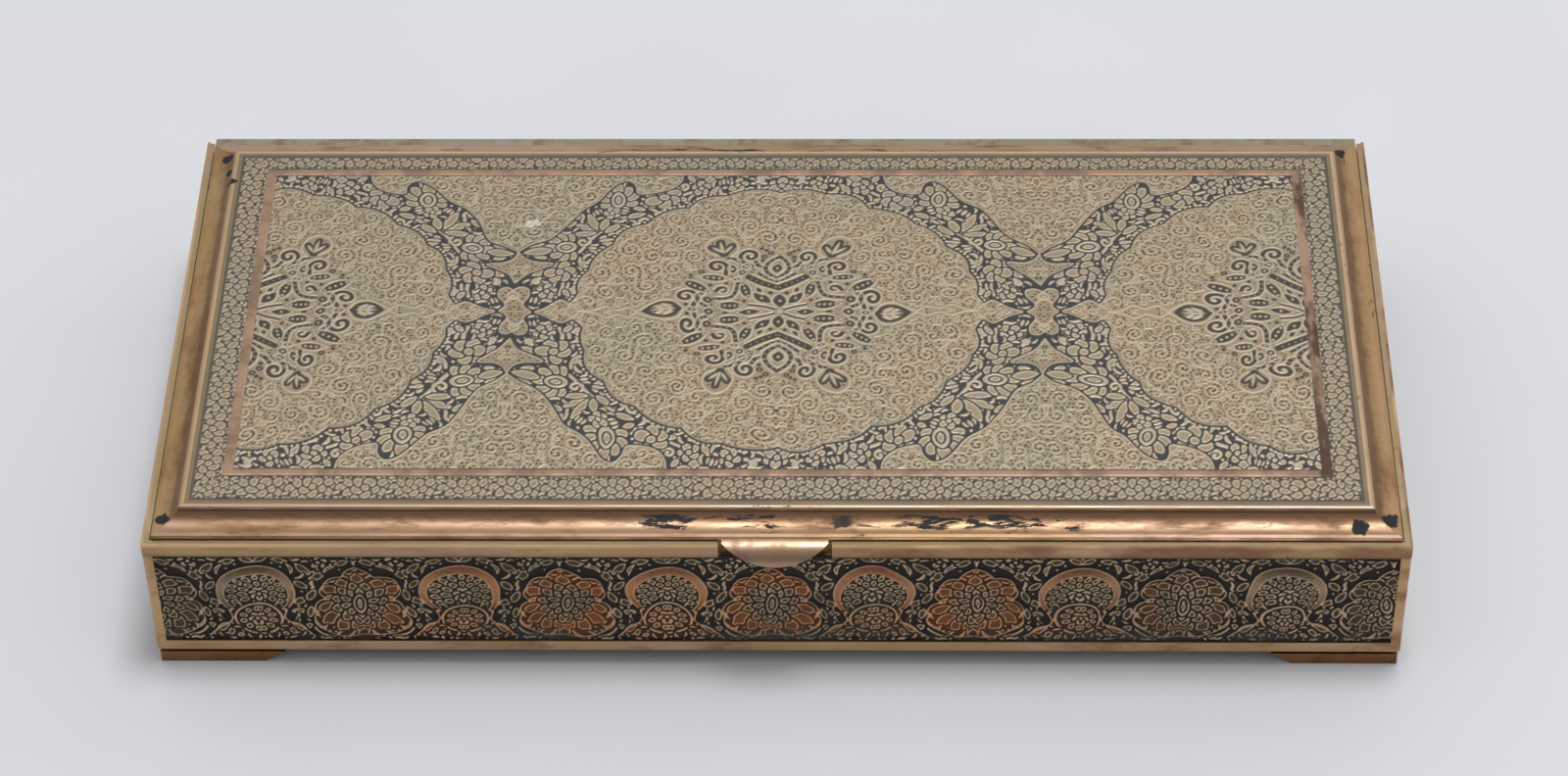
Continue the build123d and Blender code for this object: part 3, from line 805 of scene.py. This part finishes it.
def named(word):
    """The CAD nodes whose names hold a word."""
    return [name for name in sorted(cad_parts) if word in name]


def paint(names, material):
    """Puts one material on CAD nodes."""
    for name in names:
        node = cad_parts[name]
        node.data.materials.clear()
        node.data.materials.append(material)


# Materials


class Wiring:
    """A material's node tree, with short calls for the nodes that the finishes share."""

    def __init__(self, name):
        self.material = bpy.data.materials.new(name)
        self.material.use_nodes = True
        self.tree = self.material.node_tree
        self.shader = self.tree.nodes["Principled BSDF"]
        self.place = self.add("ShaderNodeTexCoord").outputs["Object"]

    def add(self, kind, inputs=(), **settings):
        """A new node with its settings and its inputs, which go by number or by name."""
        node = self.tree.nodes.new(kind)
        for key, value in settings.items():
            setattr(node, key, value)
        for key, value in dict(inputs).items():
            self.put(node.inputs[key], value)
        return node

    def put(self, socket, value):
        """Links another node's output to a socket, or sets the socket to a value."""
        if isinstance(value, bpy.types.NodeSocket):
            self.tree.links.new(value, socket)
        else:
            socket.default_value = (*value, 1.0) if socket.type == "RGBA" else value

    def set(self, **inputs):
        for key, value in inputs.items():
            self.put(self.shader.inputs[key.replace("_", " ")], value)

    def noise(self, size, detail=3.0, rough=0.55, along=None, warp=0.0):
        """Noise whose lumps are about size metres across, and longer where along is below one."""
        place = self.place
        if along:
            place = self.add("ShaderNodeMapping", {"Vector": place, "Scale": along}).outputs["Vector"]
        inputs = {"Vector": place, "Scale": 1 / size, "Detail": detail}
        inputs |= {"Roughness": rough, "Distortion": warp}
        return self.add("ShaderNodeTexNoise", inputs).outputs["Fac"]

    def attribute(self, name):
        return self.add("ShaderNodeAttribute", attribute_name=name).outputs["Fac"]

    def span(self, value, low, high, to_low=0.0, to_high=1.0):
        """Carries low and high over to to_low and to_high, smoothly and no further."""
        inputs = enumerate((value, low, high, to_low, to_high))
        return self.add("ShaderNodeMapRange", inputs, interpolation_type="SMOOTHSTEP").outputs["Result"]

    def calculate(self, kind, *values):
        return self.add("ShaderNodeMath", enumerate(values), operation=kind).outputs[0]

    plus = partialmethod(calculate, "ADD")
    minus = partialmethod(calculate, "SUBTRACT")
    times = partialmethod(calculate, "MULTIPLY")
    higher = partialmethod(calculate, "MAXIMUM")
    unsigned = partialmethod(calculate, "ABSOLUTE")
    root = partialmethod(calculate, "SQRT")

    def within(self, value, half):
        """One between minus half and half, nought outside."""
        return self.span(self.unsigned(value), half - 0.0001, half + 0.0001, 1.0, 0.0)

    def sway(self, noise, reach):
        """Noise moved about nought, as a distance."""
        return self.times(self.minus(noise, 0.5), reach)

    def blend(self, share, a, b):
        """The first colour, with a share of the second."""
        return self.add("ShaderNodeMix", {0: share, 6: a, 7: b}, data_type="RGBA").outputs[2]

    def split(self):
        """The place's X, Y and Z."""
        return self.add("ShaderNodeSeparateXYZ", {0: self.place}).outputs

    def spots(self, places, ragged):
        """One inside ragged round spots at places of x, y and radius, nought outside."""
        x, y, _ = self.split()
        edge = self.sway(self.noise(ragged * 2, 3, 0.6), ragged * 3)
        total = 0.0
        for at_x, at_y, radius in places:
            dx, dy = self.minus(x, at_x), self.minus(y, at_y)
            far = self.root(self.plus(self.times(dx, dx), self.times(dy, dy)))
            total = self.higher(total, self.span(self.plus(far, edge), radius * 0.75, radius, 1.0, 0.0))
        return total

    def bump(self, height, distance, strength=1.0, under=None):
        """A bump of a height, laid over the one under it."""
        inputs = {"Height": height, "Distance": distance, "Strength": strength}
        if under is not None:
            inputs["Normal"] = under
        return self.add("ShaderNodeBump", inputs).outputs["Normal"]


def shade(value, factor):
    """A colour times a factor, or times one factor each for red, green and blue."""
    factors = factor if isinstance(factor, tuple) else (factor,) * 3
    return tuple(min(1.0, v * f) for v, f in zip(value, factors))


# Shades of wear on the chased work
ROSY_RIDGE, OLIVE_RIDGE = (0.6, 0.47, 0.35), (0.52, 0.49, 0.36)
ROSY_GROUND, GREEN_GROUND, PUNCHED = (0.4, 0.3, 0.205), (0.33, 0.31, 0.225), (0.1, 0.083, 0.058)
STRIP_BRIGHT, STRIP_DULL, STRIP_STAIN = (0.43, 0.285, 0.2), (0.29, 0.19, 0.13), (0.07, 0.042, 0.028)
GOLDEN_RIDGE, GREY_RIDGE = (0.58, 0.43, 0.27), (0.42, 0.35, 0.23)
BROWN_GROUND, GREY_GROUND, COPPER_GROUND = (0.08, 0.053, 0.03), (0.082, 0.066, 0.044), (0.24, 0.095, 0.038)
# The walls' ground in the hollows, and the colour the walls darken to towards the bottom
HOLLOW, BOTTOM_DARK = (0.016, 0.012, 0.01), (0.085, 0.088, 0.082)
FLECKS, FLECK = [(-0.0374, 0.021, 0.0008), (-0.0363, 0.0213, 0.0005)], (0.6, 0.58, 0.5)


def chased_lid_metal():
    """Lid plate: worn ridges over a dull ground with dark punched dots, blue-black in the bands, and
    copper on the plain strip. The rise attribute runs from the dots over the flat to the ridges."""
    w, c = Wiring("chased_lid_metal"), colours()
    rise, ground, copper = (w.attribute(a) for a in ("rise", "ground", "copper"))
    cloud, patch, grain = w.noise(0.022, 4), w.noise(0.005, 4, 0.6), w.noise(0.0005, 2)
    ridge = w.blend(w.span(cloud, 0.4, 0.62), c.chased_ridge, ROSY_RIDGE)
    ridge = w.blend(w.span(patch, 0.48, 0.7), ridge, OLIVE_RIDGE)
    flat = w.blend(w.span(patch, 0.36, 0.62), c.chased_ground, ROSY_GROUND)
    flat = w.blend(w.span(cloud, 0.45, 0.65, 0, 0.7), flat, GREEN_GROUND)
    low = w.blend(w.span(rise, 0.05, 0.4), PUNCHED, flat)
    low = w.blend(ground, low, c.oxide)
    worn = w.span(w.plus(rise, w.times(grain, 0.16)), 0.6, 1.08)
    tone = w.blend(worn, low, ridge)
    strip = w.blend(w.span(patch, 0.42, 0.6), STRIP_BRIGHT, STRIP_DULL)
    x, _, _ = w.split()
    streaked = w.span(w.noise(0.005, 4, 0.6, (1, 0.4, 1)), 0.42, 0.54, 0, 0.85)
    strip = w.blend(w.times(w.span(x, 0.0755, 0.0762), streaked), strip, STRIP_STAIN)
    tone = w.blend(copper, tone, strip)
    tone = w.blend(w.spots(FLECKS, 0.0005), tone, FLECK)
    w.set(Base_Color=tone, Metallic=w.span(ground, 0, 1, 0.92, 0.6))
    w.set(Roughness=w.plus(w.span(worn, 0, 1, 0.56, 0.4), w.span(patch, 0.3, 0.7, -0.05, 0.07)))
    w.set(Normal=w.bump(grain, 0.00002, 0.5))
    return w.material


def chased_panel_metal():
    """Wall panels: darker, with copper showing on the raised cartouches near the front's middle."""
    w, c = Wiring("chased_panel_metal"), colours()
    rise, ground, copper = (w.attribute(a) for a in ("rise", "ground", "copper"))
    cloud, patch, grain = w.noise(0.012, 4), w.noise(0.0028, 5, 0.65), w.noise(0.0004, 2)
    x, _, z = w.split()
    middle = w.span(w.unsigned(w.minus(x, -0.006)), 0.03, 0.075, 1.0, 0.12)
    bare = w.times(copper, w.times(w.span(patch, 0.3, 0.6, 0.35, 1.0), middle))
    ridge = w.blend(w.span(cloud, 0.42, 0.6), GOLDEN_RIDGE, GREY_RIDGE)
    ridge = w.blend(bare, ridge, c.copper)
    low = w.blend(w.span(patch, 0.4, 0.65), BROWN_GROUND, GREY_GROUND)
    low = w.blend(bare, low, COPPER_GROUND)
    low = w.blend(ground, low, HOLLOW)
    worn = w.span(w.plus(rise, w.times(grain, 0.25)), 0.62, 1.15)
    # Darker towards the bottom of the walls, in cloudy patches
    darker_below = w.times(w.span(z, 0.0045, 0.0095, 1.0, 0.0), w.span(cloud, 0.42, 0.6))
    tone = w.blend(w.times(darker_below, 0.55), w.blend(worn, low, ridge), BOTTOM_DARK)
    w.set(Base_Color=tone, Metallic=w.span(ground, 0, 1, 0.85, 0.5))
    w.set(Roughness=w.span(worn, 0, 1, 0.6, 0.38))
    w.set(Normal=w.bump(grain, 0.00004, 0.6))
    return w.material


# Patches of plain metal, as shares of its own red, green and blue
YELLOWED, BROWNED, BLEACHED = (0.92, 0.93, 0.74), (0.62, 0.55, 0.48), (1.12, 1.18, 1.3)
# Painted shade on the moulding's upper cove, and a painted highlight on its crest
SHOULDER_SHADE, CREST_HIGHLIGHT = (0.5, 0.42, 0.36), (1.35, 1.5, 1.6)
# Painted shade on the moulding's ledge, a real stain on the rim, and painted shade on the rim's foot
LEDGE_SHADE, RIM_STAIN, RIM_FOOT_SHADE = (0.24, 0.19, 0.125), (0.26, 0.135, 0.075), (0.12, 0.075, 0.045)
# Heights in metres on the lid's moulding, and on the upright lip
SHOULDER_SHADE_HEIGHTS, CREST_HIGHLIGHT_HEIGHTS, LIP_HEIGHTS = (0.0249, 0.0254), (0.0263, 0.0265), (0.024, 0.0246)
COVE_BOTTOM, COVE_TOP = (0.0247, 0.0249), (0.0256, 0.0259)
# Black gaps at the lid's mitres: x, y and radius
MITRES = [(-0.0853, -0.0382, 0.0012), (0.0809, -0.0395, 0.0014), (0.0851, -0.038, 0.0014),
          (-0.0842, 0.0372, 0.001), (0.0838, 0.0385, 0.0012), (-0.0836, 0.0335, 0.0006),
          (-0.0828, 0.0305, 0.0007)]


def plain_metal(name, base, tarnish=0.5, along=(1, 1, 1), rough=(0.32, 0.52), wear=1.0, marks=None, lip=None):
    """Plain worn metal: pinkish to yellow patches, faint rubbing marks, small dents that break up the
    highlights, and black tarnish that gathers in specks. Marks is a function that adds to the tone
    and the black, painted highlights and painted shade among them. Lip gives the heights between which an
    upright edge looks rounded over."""
    w, c = Wiring(name), colours()
    cloud = w.noise(0.018, 4, 0.6, along)
    patch = w.noise(0.004, 5, 0.65, along)
    specks = w.noise(0.0016, 4, 0.7, along, 0.4)
    tone = w.blend(w.span(cloud, 0.38, 0.62), base, shade(base, YELLOWED))
    tone = w.blend(w.span(patch, 0.46, 0.7, 0.0, wear), tone, shade(base, BROWNED))
    tone = w.blend(w.span(w.noise(0.011, 4, 0.6, along), 0.52, 0.68, 0, 0.7), tone, shade(base, BLEACHED))
    black = w.times(w.times(w.span(specks, 0.62, 0.7), w.span(cloud, 0.46, 0.62)), tarnish)
    if marks:
        tone, black = marks(w, base, along, tone, black)
    # Black is mostly tarnish; for the rim it also holds the painted shade of the gap under the lid
    tone = w.blend(black, tone, c.tarnish)
    w.set(Base_Color=tone, Metallic=w.span(black, 0, 1, 1.0, 0.3))
    w.set(Roughness=w.plus(w.span(patch, 0.35, 0.7, *rough), w.span(black, 0, 1, 0, 0.25)))
    dents = w.bump(w.noise(0.007, 2, 0.4), 0.00012, 0.5)
    if lip:
        dents = w.bump(w.span(w.split()[2], *lip, 1.0, 0.0), 0.0011, 1.0, dents)
    w.set(Normal=w.bump(w.noise(0.0006, 3, 0.6, along), 0.00001, 0.5, dents))
    return w.material


def moulding_tarnish_and_painted_light(w, base, along, tone, black, streaks, axis, ledge):
    """Painted shade as a brown shoulder and a painted highlight as a pale crest on the cove, painted shade
    on the ledge within its distance from the middle along the axis, tarnish in torn patches along the
    streaks, which are stretches of X in metres with their depth, and black gaps at the mitres."""
    x, y, z = w.split()
    ragged = w.plus(x, w.sway(w.noise(0.003, 3), 0.008))
    height = w.plus(z, w.sway(w.noise(0.002, 4, 0.6, along), 0.0007))
    # Painted shade: the upper cove and the bead below the crest are darkened brown
    tone = w.blend(w.times(w.span(height, *SHOULDER_SHADE_HEIGHTS), 0.8), tone, shade(base, SHOULDER_SHADE))
    # Painted highlight: a pale crest along the top of the bead
    tone = w.blend(w.times(w.span(height, *CREST_HIGHLIGHT_HEIGHTS), 0.8), tone, shade(base, CREST_HIGHLIGHT))
    # Painted shade: the ledge beside the plate is darkened along the plate's recessed edge
    tone = w.blend(w.times(w.within((x, y)[axis], ledge), 0.85), tone, LEDGE_SHADE)
    cove = w.times(w.span(height, *COVE_TOP, 1.0, 0.0), w.span(height, *COVE_BOTTOM))
    torn = w.times(cove, w.span(w.noise(0.0015, 6, 0.72, (0.26, 1, 1), 0.5), 0.5, 0.535))
    soft = 0.002
    for start, end, depth in streaks:
        begun = w.span(ragged, start - soft, start + soft)
        inside = w.times(begun, w.span(ragged, end - soft, end + soft, 1, 0))
        black = w.higher(black, w.times(w.times(inside, torn), depth))
    return tone, w.higher(black, w.spots(MITRES, 0.0006))


def rim_stain_and_painted_light(w, base, along, tone, black, half_width, half_depth, top):
    """A painted highlight on the upper edge and painted shade, brown, on the lower one, a stain on the right
    half, and black painted shade in the crack in which the lid's edge meets the rim."""
    x, y, z = w.split()
    # Painted shade: the rim's top is painted black under the lid's edge, in the gap between lid and rim
    crack = w.times(w.times(w.within(x, half_width), w.within(y, half_depth)), w.span(z, top - 0.0001, top))
    # Painted highlight along the rim band's top edge
    tone = w.blend(w.span(z, top - 0.0006, top - 0.0001), tone, shade(base, 1.3))
    stain = w.times(w.span(x, 0.0, 0.045, 0.25, 1.0), w.span(w.noise(0.012, 4, 0.6, along), 0.4, 0.56))
    tone = w.blend(stain, tone, RIM_STAIN)
    # Painted shade: the rim band darker towards its foot
    tone = w.blend(w.span(z, top - 0.0026, top - 0.0012, 0.7, 0.0), tone, RIM_FOOT_SHADE)
    return tone, w.higher(black, crack)


def cedar_wood(name, axis):
    """Cedar: growth rings as noise stretched along one axis, fine pores along the grain."""
    w, c = Wiring(name), colours()
    rings, pores = (
        w.noise(size, detail, rough, tuple(stretch if k == axis else 1.0 for k in range(3)), warp)
        for size, detail, rough, stretch, warp in ((0.0022, 3, 0.55, 0.08, 0.6), (0.00035, 2, 0.5, 0.05, 0.0))
    )
    tone = w.blend(w.span(rings, 0.35, 0.65), c.cedar, shade(c.cedar, 0.6))
    tone = w.blend(w.span(pores, 0.55, 0.75, 0, 0.5), tone, shade(c.cedar, 0.35))
    w.set(Base_Color=tone, Roughness=w.span(rings, 0.3, 0.7, 0.6, 0.75), Metallic=0.0)
    w.set(Normal=w.bump(pores, 0.00004, 0.5))
    return w.material


# Operators


FLOOR_HALF = 3.0
SKY_COLOUR, SKY_WAY = (0.985, 0.99, 1.0, 1), (0.05, 0.35, 0.6)
SKY_LEVELS = {"From Min": -0.3, "From Max": 0.7, "To Min": 0.26, "To Max": 0.75}
LAMP_PLACE, LAMP_AIM, LAMP_SIZE, LAMP_WATTS = (0.12, 0.05, 1.1), (0, 0, 0.01), 0.3, 5.6

# The photograph's camera, fitted in units of a hundredth of the case's width
PITCH, TURN, ROLL = math.radians(44.404), math.radians(1.6358), math.radians(-1.0817)
FIT_UNIT = 1.76  # millimetres
TARGET_X, TARGET_BELOW, DISTANCE = 0.2724, 6.1639, 0.357969  # the last in thousands of units
RIM_HEIGHT = 24.0  # millimetres
FOCAL_PIXELS, PHOTO_PIXELS, SENSOR = 4373.67, 1600, 36


class CASE_OT_stage(bpy.types.Operator):
    """Lay the pale floor, hang the soft lamp and set the camera"""

    bl_idname = "cigarette_case.stage"
    bl_label = "Studio"

    def execute(self, context):
        scene = context.scene
        scene.view_settings.view_transform = "Standard"
        self.floor(scene)
        self.sky(scene)
        self.lamp(scene)
        self.camera(scene)
        return {"FINISHED"}

    def floor(self, scene):
        """A square of pale paper with a faint mottle."""
        mesh = bpy.data.meshes.new("floor")
        corners = [(x * FLOOR_HALF, y * FLOOR_HALF, 0) for x, y in ((-1, -1), (1, -1), (1, 1), (-1, 1))]
        mesh.from_pydata(corners, [], [(0, 1, 2, 3)])
        floor = bpy.data.objects.new("floor", mesh)
        scene.collection.objects.link(floor)
        w, paper = Wiring("paper_sweep"), colours().floor
        w.set(Base_Color=w.blend(w.span(w.noise(0.08, 3), 0.3, 0.7), paper, shade(paper, 1.03)))
        w.set(Roughness=0.9, Specular_IOR_Level=0.2)
        mesh.materials.append(w.material)

    def sky(self, scene):
        """A pale dome whose strength follows the direction's dot product with the brightest way."""
        world = bpy.data.worlds.new("studio")
        scene.world = world
        world.use_nodes = True
        nodes, links = world.node_tree.nodes, world.node_tree.links
        back = nodes["Background"]
        back.inputs["Color"].default_value = SKY_COLOUR
        kinds = ("TexCoord", "VectorMath", "MapRange")
        ways, towards, level = (nodes.new(f"ShaderNode{kind}") for kind in kinds)
        towards.operation = "DOT_PRODUCT"
        towards.inputs[1].default_value = SKY_WAY
        for key, value in SKY_LEVELS.items():
            level.inputs[key].default_value = value
        links.new(ways.outputs["Generated"], towards.inputs[0])
        links.new(towards.outputs["Value"], level.inputs["Value"])
        links.new(level.outputs["Result"], back.inputs["Strength"])

    def lamp(self, scene):
        """A soft square lamp overhead, aimed at the case."""
        lamp = bpy.data.lights.new("overhead_lamp", "AREA")
        lamp.shape = "SQUARE"
        lamp.size = LAMP_SIZE
        lamp.energy = LAMP_WATTS
        holder = bpy.data.objects.new("overhead_lamp", lamp)
        holder.location = LAMP_PLACE
        holder.rotation_euler = (Vector(LAMP_AIM) - Vector(LAMP_PLACE)).to_track_quat("-Z", "Y").to_euler()
        scene.collection.objects.link(holder)

    def camera(self, scene):
        """The photograph's view: turned, pitched and rolled about the point it looks at."""
        target = Vector((TARGET_X * FIT_UNIT, 0.0, RIM_HEIGHT - TARGET_BELOW * FIT_UNIT)) / MM
        forward = Vector((0, math.cos(PITCH), -math.sin(PITCH)))
        up = Vector((0, math.sin(PITCH), math.cos(PITCH)))
        right = Vector((1, 0, 0))
        place = target - forward * DISTANCE * FIT_UNIT
        tilted = math.cos(ROLL) * right + math.sin(ROLL) * up
        above = -math.sin(ROLL) * right + math.cos(ROLL) * up
        rows = Matrix((tilted, above, -forward)).transposed().to_4x4()
        data = bpy.data.cameras.new("camera")
        data.lens = FOCAL_PIXELS * SENSOR / PHOTO_PIXELS
        data.sensor_width = SENSOR
        data.clip_start, data.clip_end = 0.01, 20
        camera = bpy.data.objects.new("camera", data)
        camera.matrix_world = Matrix.Rotation(TURN, 4, "Z") @ (Matrix.Translation(place) @ rows)
        scene.collection.objects.link(camera)
        scene.camera = camera


def even(low, high, cell):
    """Places from low to high, about a cell apart."""
    return np.linspace(low, high, int(round((high - low) / cell)) + 1)


# Lid plate, in millimetres: its plain margin, darkened as painted shade along the recess where it meets the
# moulding, the taper of the relief towards the edge, and how far the ridges lie under the plate's face
LID_SHADE_MARGIN, LID_TAPER, LID_SINK = 0.35, 0.3, 0.03
LID_PARTS = 5


class CASE_OT_lid_plate(bpy.types.Operator):
    """Chase the lid's plate with medallions, leafy bands, spandrels and a border"""

    bl_idname = "cigarette_case.lid_plate"
    bl_label = "Chased lid plate"

    def execute(self, context):
        low, high = (np.array(v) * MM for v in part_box("lid_top_plate"))
        cell = sizes().lid_cell * MM
        xs, ys = (even(low[k], high[k], cell) for k in (0, 1))
        x, y = np.meshgrid(xs, ys, indexing="ij")
        rise, ground, copper = lid_relief(x, y)
        edge = np.minimum(np.minimum(x - low[0], high[0] - x), np.minimum(y - low[1], high[1] - y))
        lift = -LID_SINK - sizes().lid_depth * MM * (1 - rise) * np.clip(edge / LID_TAPER, 0, 1)
        # Painted shade: a dark, dull margin along the plate's edge, where it meets the moulding
        ground = np.where(edge < LID_SHADE_MARGIN, 0.6, ground)
        rise = np.where(edge < LID_SHADE_MARGIN, 0.2, rise)
        metal = chased_lid_metal()
        slopes = np.gradient(lift, xs, ys)
        cuts = np.linspace(0, len(xs) - 1, LID_PARTS + 1).astype(int)
        for k, (a, b) in enumerate(zip(cuts[:-1], cuts[1:])):
            part = slice(a, b + 1)
            piece = relief_slab(
                f"lid_plate_chased_{k + 1}",
                xs[part] / MM,
                ys / MM,
                lift[part] / MM,
                (0, 0, high[2] / MM),
                np.eye(3),
                (low[2] - high[2]) / MM,
                {"rise": rise[part], "ground": ground[part], "copper": copper[part]},
                [slope[part] for slope in slopes],
            )
            dress(piece, metal, "lid", ["lid_top_plate"])
        return {"FINISHED"}


# Side, the way along it and the way out of it
WALLS = [
    ("front", (1, 0, 0), (0, -1, 0)),
    ("right", (0, 1, 0), (1, 0, 0)),
    ("back", (-1, 0, 0), (0, 1, 0)),
    ("left", (0, -1, 0), (-1, 0, 0)),
]
FRONT_SHIFT = 0.75  # millimetres from the front's middle to its middle medallion
PANEL_SHADE_MARGIN = 0.28  # millimetres of painted shade, dark ground, along the frieze's top and bottom under the bands' edges
PANEL_PROUD, PANEL_BACK = 0.00003, -0.0001  # metres before and behind the wall's face


class CASE_OT_wall_panels(bpy.types.Operator):
    """Chase the frieze of cartouches on the four walls, between the plain bands"""

    bl_idname = "cigarette_case.wall_panels"
    bl_label = "Chased wall panels"

    def execute(self, context):
        metal = chased_panel_metal()
        base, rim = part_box("base_band_front")[1][2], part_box("rim_band_front_left")[0][2]
        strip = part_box("corner_strip_front_left")[1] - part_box("corner_strip_front_left")[0]
        half_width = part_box("base_band_front")[1][0] - strip[0]
        half_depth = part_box("base_band_back")[1][1] - strip[1]
        for k, (side, along, out) in enumerate(WALLS):
            low, high = (Vector(v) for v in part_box(f"{side}_wall"))
            face = abs((high if sum(out) > 0 else low).dot(Vector(out)))
            half = half_width if side in ("front", "back") else half_depth
            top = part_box("rim_band_back")[0][2] if side == "back" else rim
            xs, zs = even(-half, half, sizes().panel_cell), even(base, top, sizes().panel_cell)
            x, z = np.meshgrid(xs * MM, zs * MM, indexing="ij")
            rng = np.random.default_rng(sizes().seed + 20 + k)
            rise, ground, copper = panel_relief(x, z, FRONT_SHIFT if side == "front" else 0.0, rng)
            # Painted shade along the top and bottom of the frieze, under the edges of the bands
            band_shade = (z < z.min() + PANEL_SHADE_MARGIN) | (z > z.max() - PANEL_SHADE_MARGIN)
            rise, ground = np.where(band_shade, 0.1, rise), np.where(band_shade, 1.0, ground)
            piece = relief_slab(
                f"{side}_panel_chased",
                xs,
                zs,
                PANEL_PROUD + sizes().panel_depth * rise,
                np.array(out) * face,
                (along, (0, 0, 1), out),
                PANEL_BACK,
                {"rise": rise, "ground": ground, "copper": copper},
            )
            dress(piece, metal, "case")
        return {"FINISHED"}


# Side, axis across it, colour as a share of the mouldings' (partly each side's own tint, partly painted shade
# that darkens the front most and the left more than the right), grain, and the streaks of tarnish
MOULDINGS = [
    ("front", 1, (0.66, 0.6, 0.58), (0.3, 1, 1),
     [(-0.019, 0.001, 1.0), (0.008, 0.0105, 1.0), (0.0167, 0.042, 1.0), (-0.08, 0.08, 0.25)]),
    ("back", 1, (0.95, 0.93, 0.9), (0.3, 1, 1), [(-0.017, 0.024, 1.0), (-0.08, 0.08, 0.4)]),
    ("left", 0, (0.86, 0.8, 0.62), (1, 0.3, 1), [(-0.1, 0.1, 0.15)]),
    ("right", 0, (0.95, 0.88, 0.75), (1, 0.3, 1), [(-0.1, 0.1, 0.15)]),
]
LEDGE_WIDTH = 0.0006
# Painted shade in the gap between the lid and the rim: how far past the lid's moulding the rim's top is
# blackened
GAP_SHADE_SIDE, GAP_SHADE_FRONT = 0.0008, 0.0004  # width of the crack between the lid and the rim


class CASE_OT_metalwork(bpy.types.Operator):
    """Give the mouldings, bands, strips, feet, plates and hinge their worn metal"""

    bl_idname = "cigarette_case.metalwork"
    bl_label = "Plain metalwork"

    def execute(self, context):
        base = colours().moulding
        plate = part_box("lid_top_plate")[1]
        for side, axis, side_tint_and_shade, along, streaks in MOULDINGS:
            marks = partial(moulding_tarnish_and_painted_light, streaks=streaks, axis=axis, ledge=plate[axis] + LEDGE_WIDTH)
            settings = {"along": along, "marks": marks, "lip": LIP_HEIGHTS}
            # A lit or shaded copy of the moulding metal for each side: painted shade darkens the front and
            # the left
            metal = plain_metal(f"moulding_metal_{side}", shade(base, side_tint_and_shade), 1.0, **settings)
            paint([f"lid_moulding_{side}"], metal)
        crack = partial(
            rim_stain_and_painted_light,
            half_width=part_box("lid_moulding_left")[0][0] * -1 + GAP_SHADE_SIDE,
            half_depth=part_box("lid_moulding_front")[0][1] * -1 + GAP_SHADE_FRONT,
            top=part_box("rim_band_left")[1][2],
        )
        bands = named("base_band") + named("corner_strip")
        rim, band = shade(base, (0.85, 0.8, 0.66)), shade(base, (0.95, 0.87, 0.74))
        for pieces, name, tone, tarnish, settings in [
            (named("rim_band"), "rim_metal", rim, 0.8, {"along": (0.4, 0.4, 1), "marks": crack}),
            (bands, "band_metal", band, 0.9, {"along": (0.4, 0.4, 1)}),
            (["thumbpiece"], "thumbpiece_metal", (0.42, 0.28, 0.215), 0.6, {"rough": (0.3, 0.46)}),
            (named("foot_"), "foot_metal", colours().foot, 0.6, {}),
            # The base plate is near-black: painted shade under the case, with tarnish
            (["base_plate"], "base_shade_metal", (0.06, 0.05, 0.04), 0.6, {"rough": (0.4, 0.6)}),
            (named("_wall") + ["lid_inner_plate"], "sheet_metal", (0.43, 0.33, 0.21), 0.5,
             {"along": (0.3, 1, 1), "rough": (0.36, 0.5), "wear": 0.4}),
            (named("hinge"), "hinge_metal", (0.4, 0.34, 0.27), 0.7, {"rough": (0.3, 0.5)}),
            (["lid_top_plate"], "plate_metal", (0.42, 0.34, 0.22), 0.3, {}),
        ]:
            paint(pieces, plain_metal(name, tone, tarnish, **settings))
        return {"FINISHED"}


class CASE_OT_lining(bpy.types.Operator):
    """Give the lining's boards their cedar"""

    bl_idname = "cigarette_case.lining"
    bl_label = "Cedar lining"

    def execute(self, context):
        across = ["lining_left", "lining_right", "lining_divider"]
        boards = [name for name in named("lining_") if name not in across]
        paint(boards, cedar_wood("cedar_long", 0))
        paint(across, cedar_wood("cedar_across", 1))
        return {"FINISHED"}


STEPS = (CASE_OT_stage, CASE_OT_lid_plate, CASE_OT_wall_panels, CASE_OT_metalwork, CASE_OT_lining)


class CASE_PT_panel(bpy.types.Panel):
    """Lists the case's sizes, colours and steps in the sidebar"""

    bl_idname = "CASE_PT_panel"
    bl_label = "Cigarette case"
    bl_space_type = "VIEW_3D"
    bl_region_type = "UI"
    bl_category = "Cigarette case"

    def draw(self, context):
        for group in (context.scene.case_sizes, context.scene.case_colours):
            for name in group.bl_rna.properties.keys():
                if name not in ("rna_type", "name"):
                    self.layout.prop(group, name)
        for step in STEPS:
            self.layout.operator(step.bl_idname)


CLASSES = (CaseSizes, CaseColours, *STEPS, CASE_PT_panel)


def register():
    for cls in CLASSES:
        bpy.utils.register_class(cls)
    bpy.types.Scene.case_sizes = PointerProperty(type=CaseSizes)
    bpy.types.Scene.case_colours = PointerProperty(type=CaseColours)


def unregister():
    del bpy.types.Scene.case_colours
    del bpy.types.Scene.case_sizes
    for cls in reversed(CLASSES):
        bpy.utils.unregister_class(cls)


def main():
    register()
    for step in STEPS:
        space, name = step.bl_idname.split(".")
        getattr(getattr(bpy.ops, space), name)()


if __name__ == "__main__":
    main()
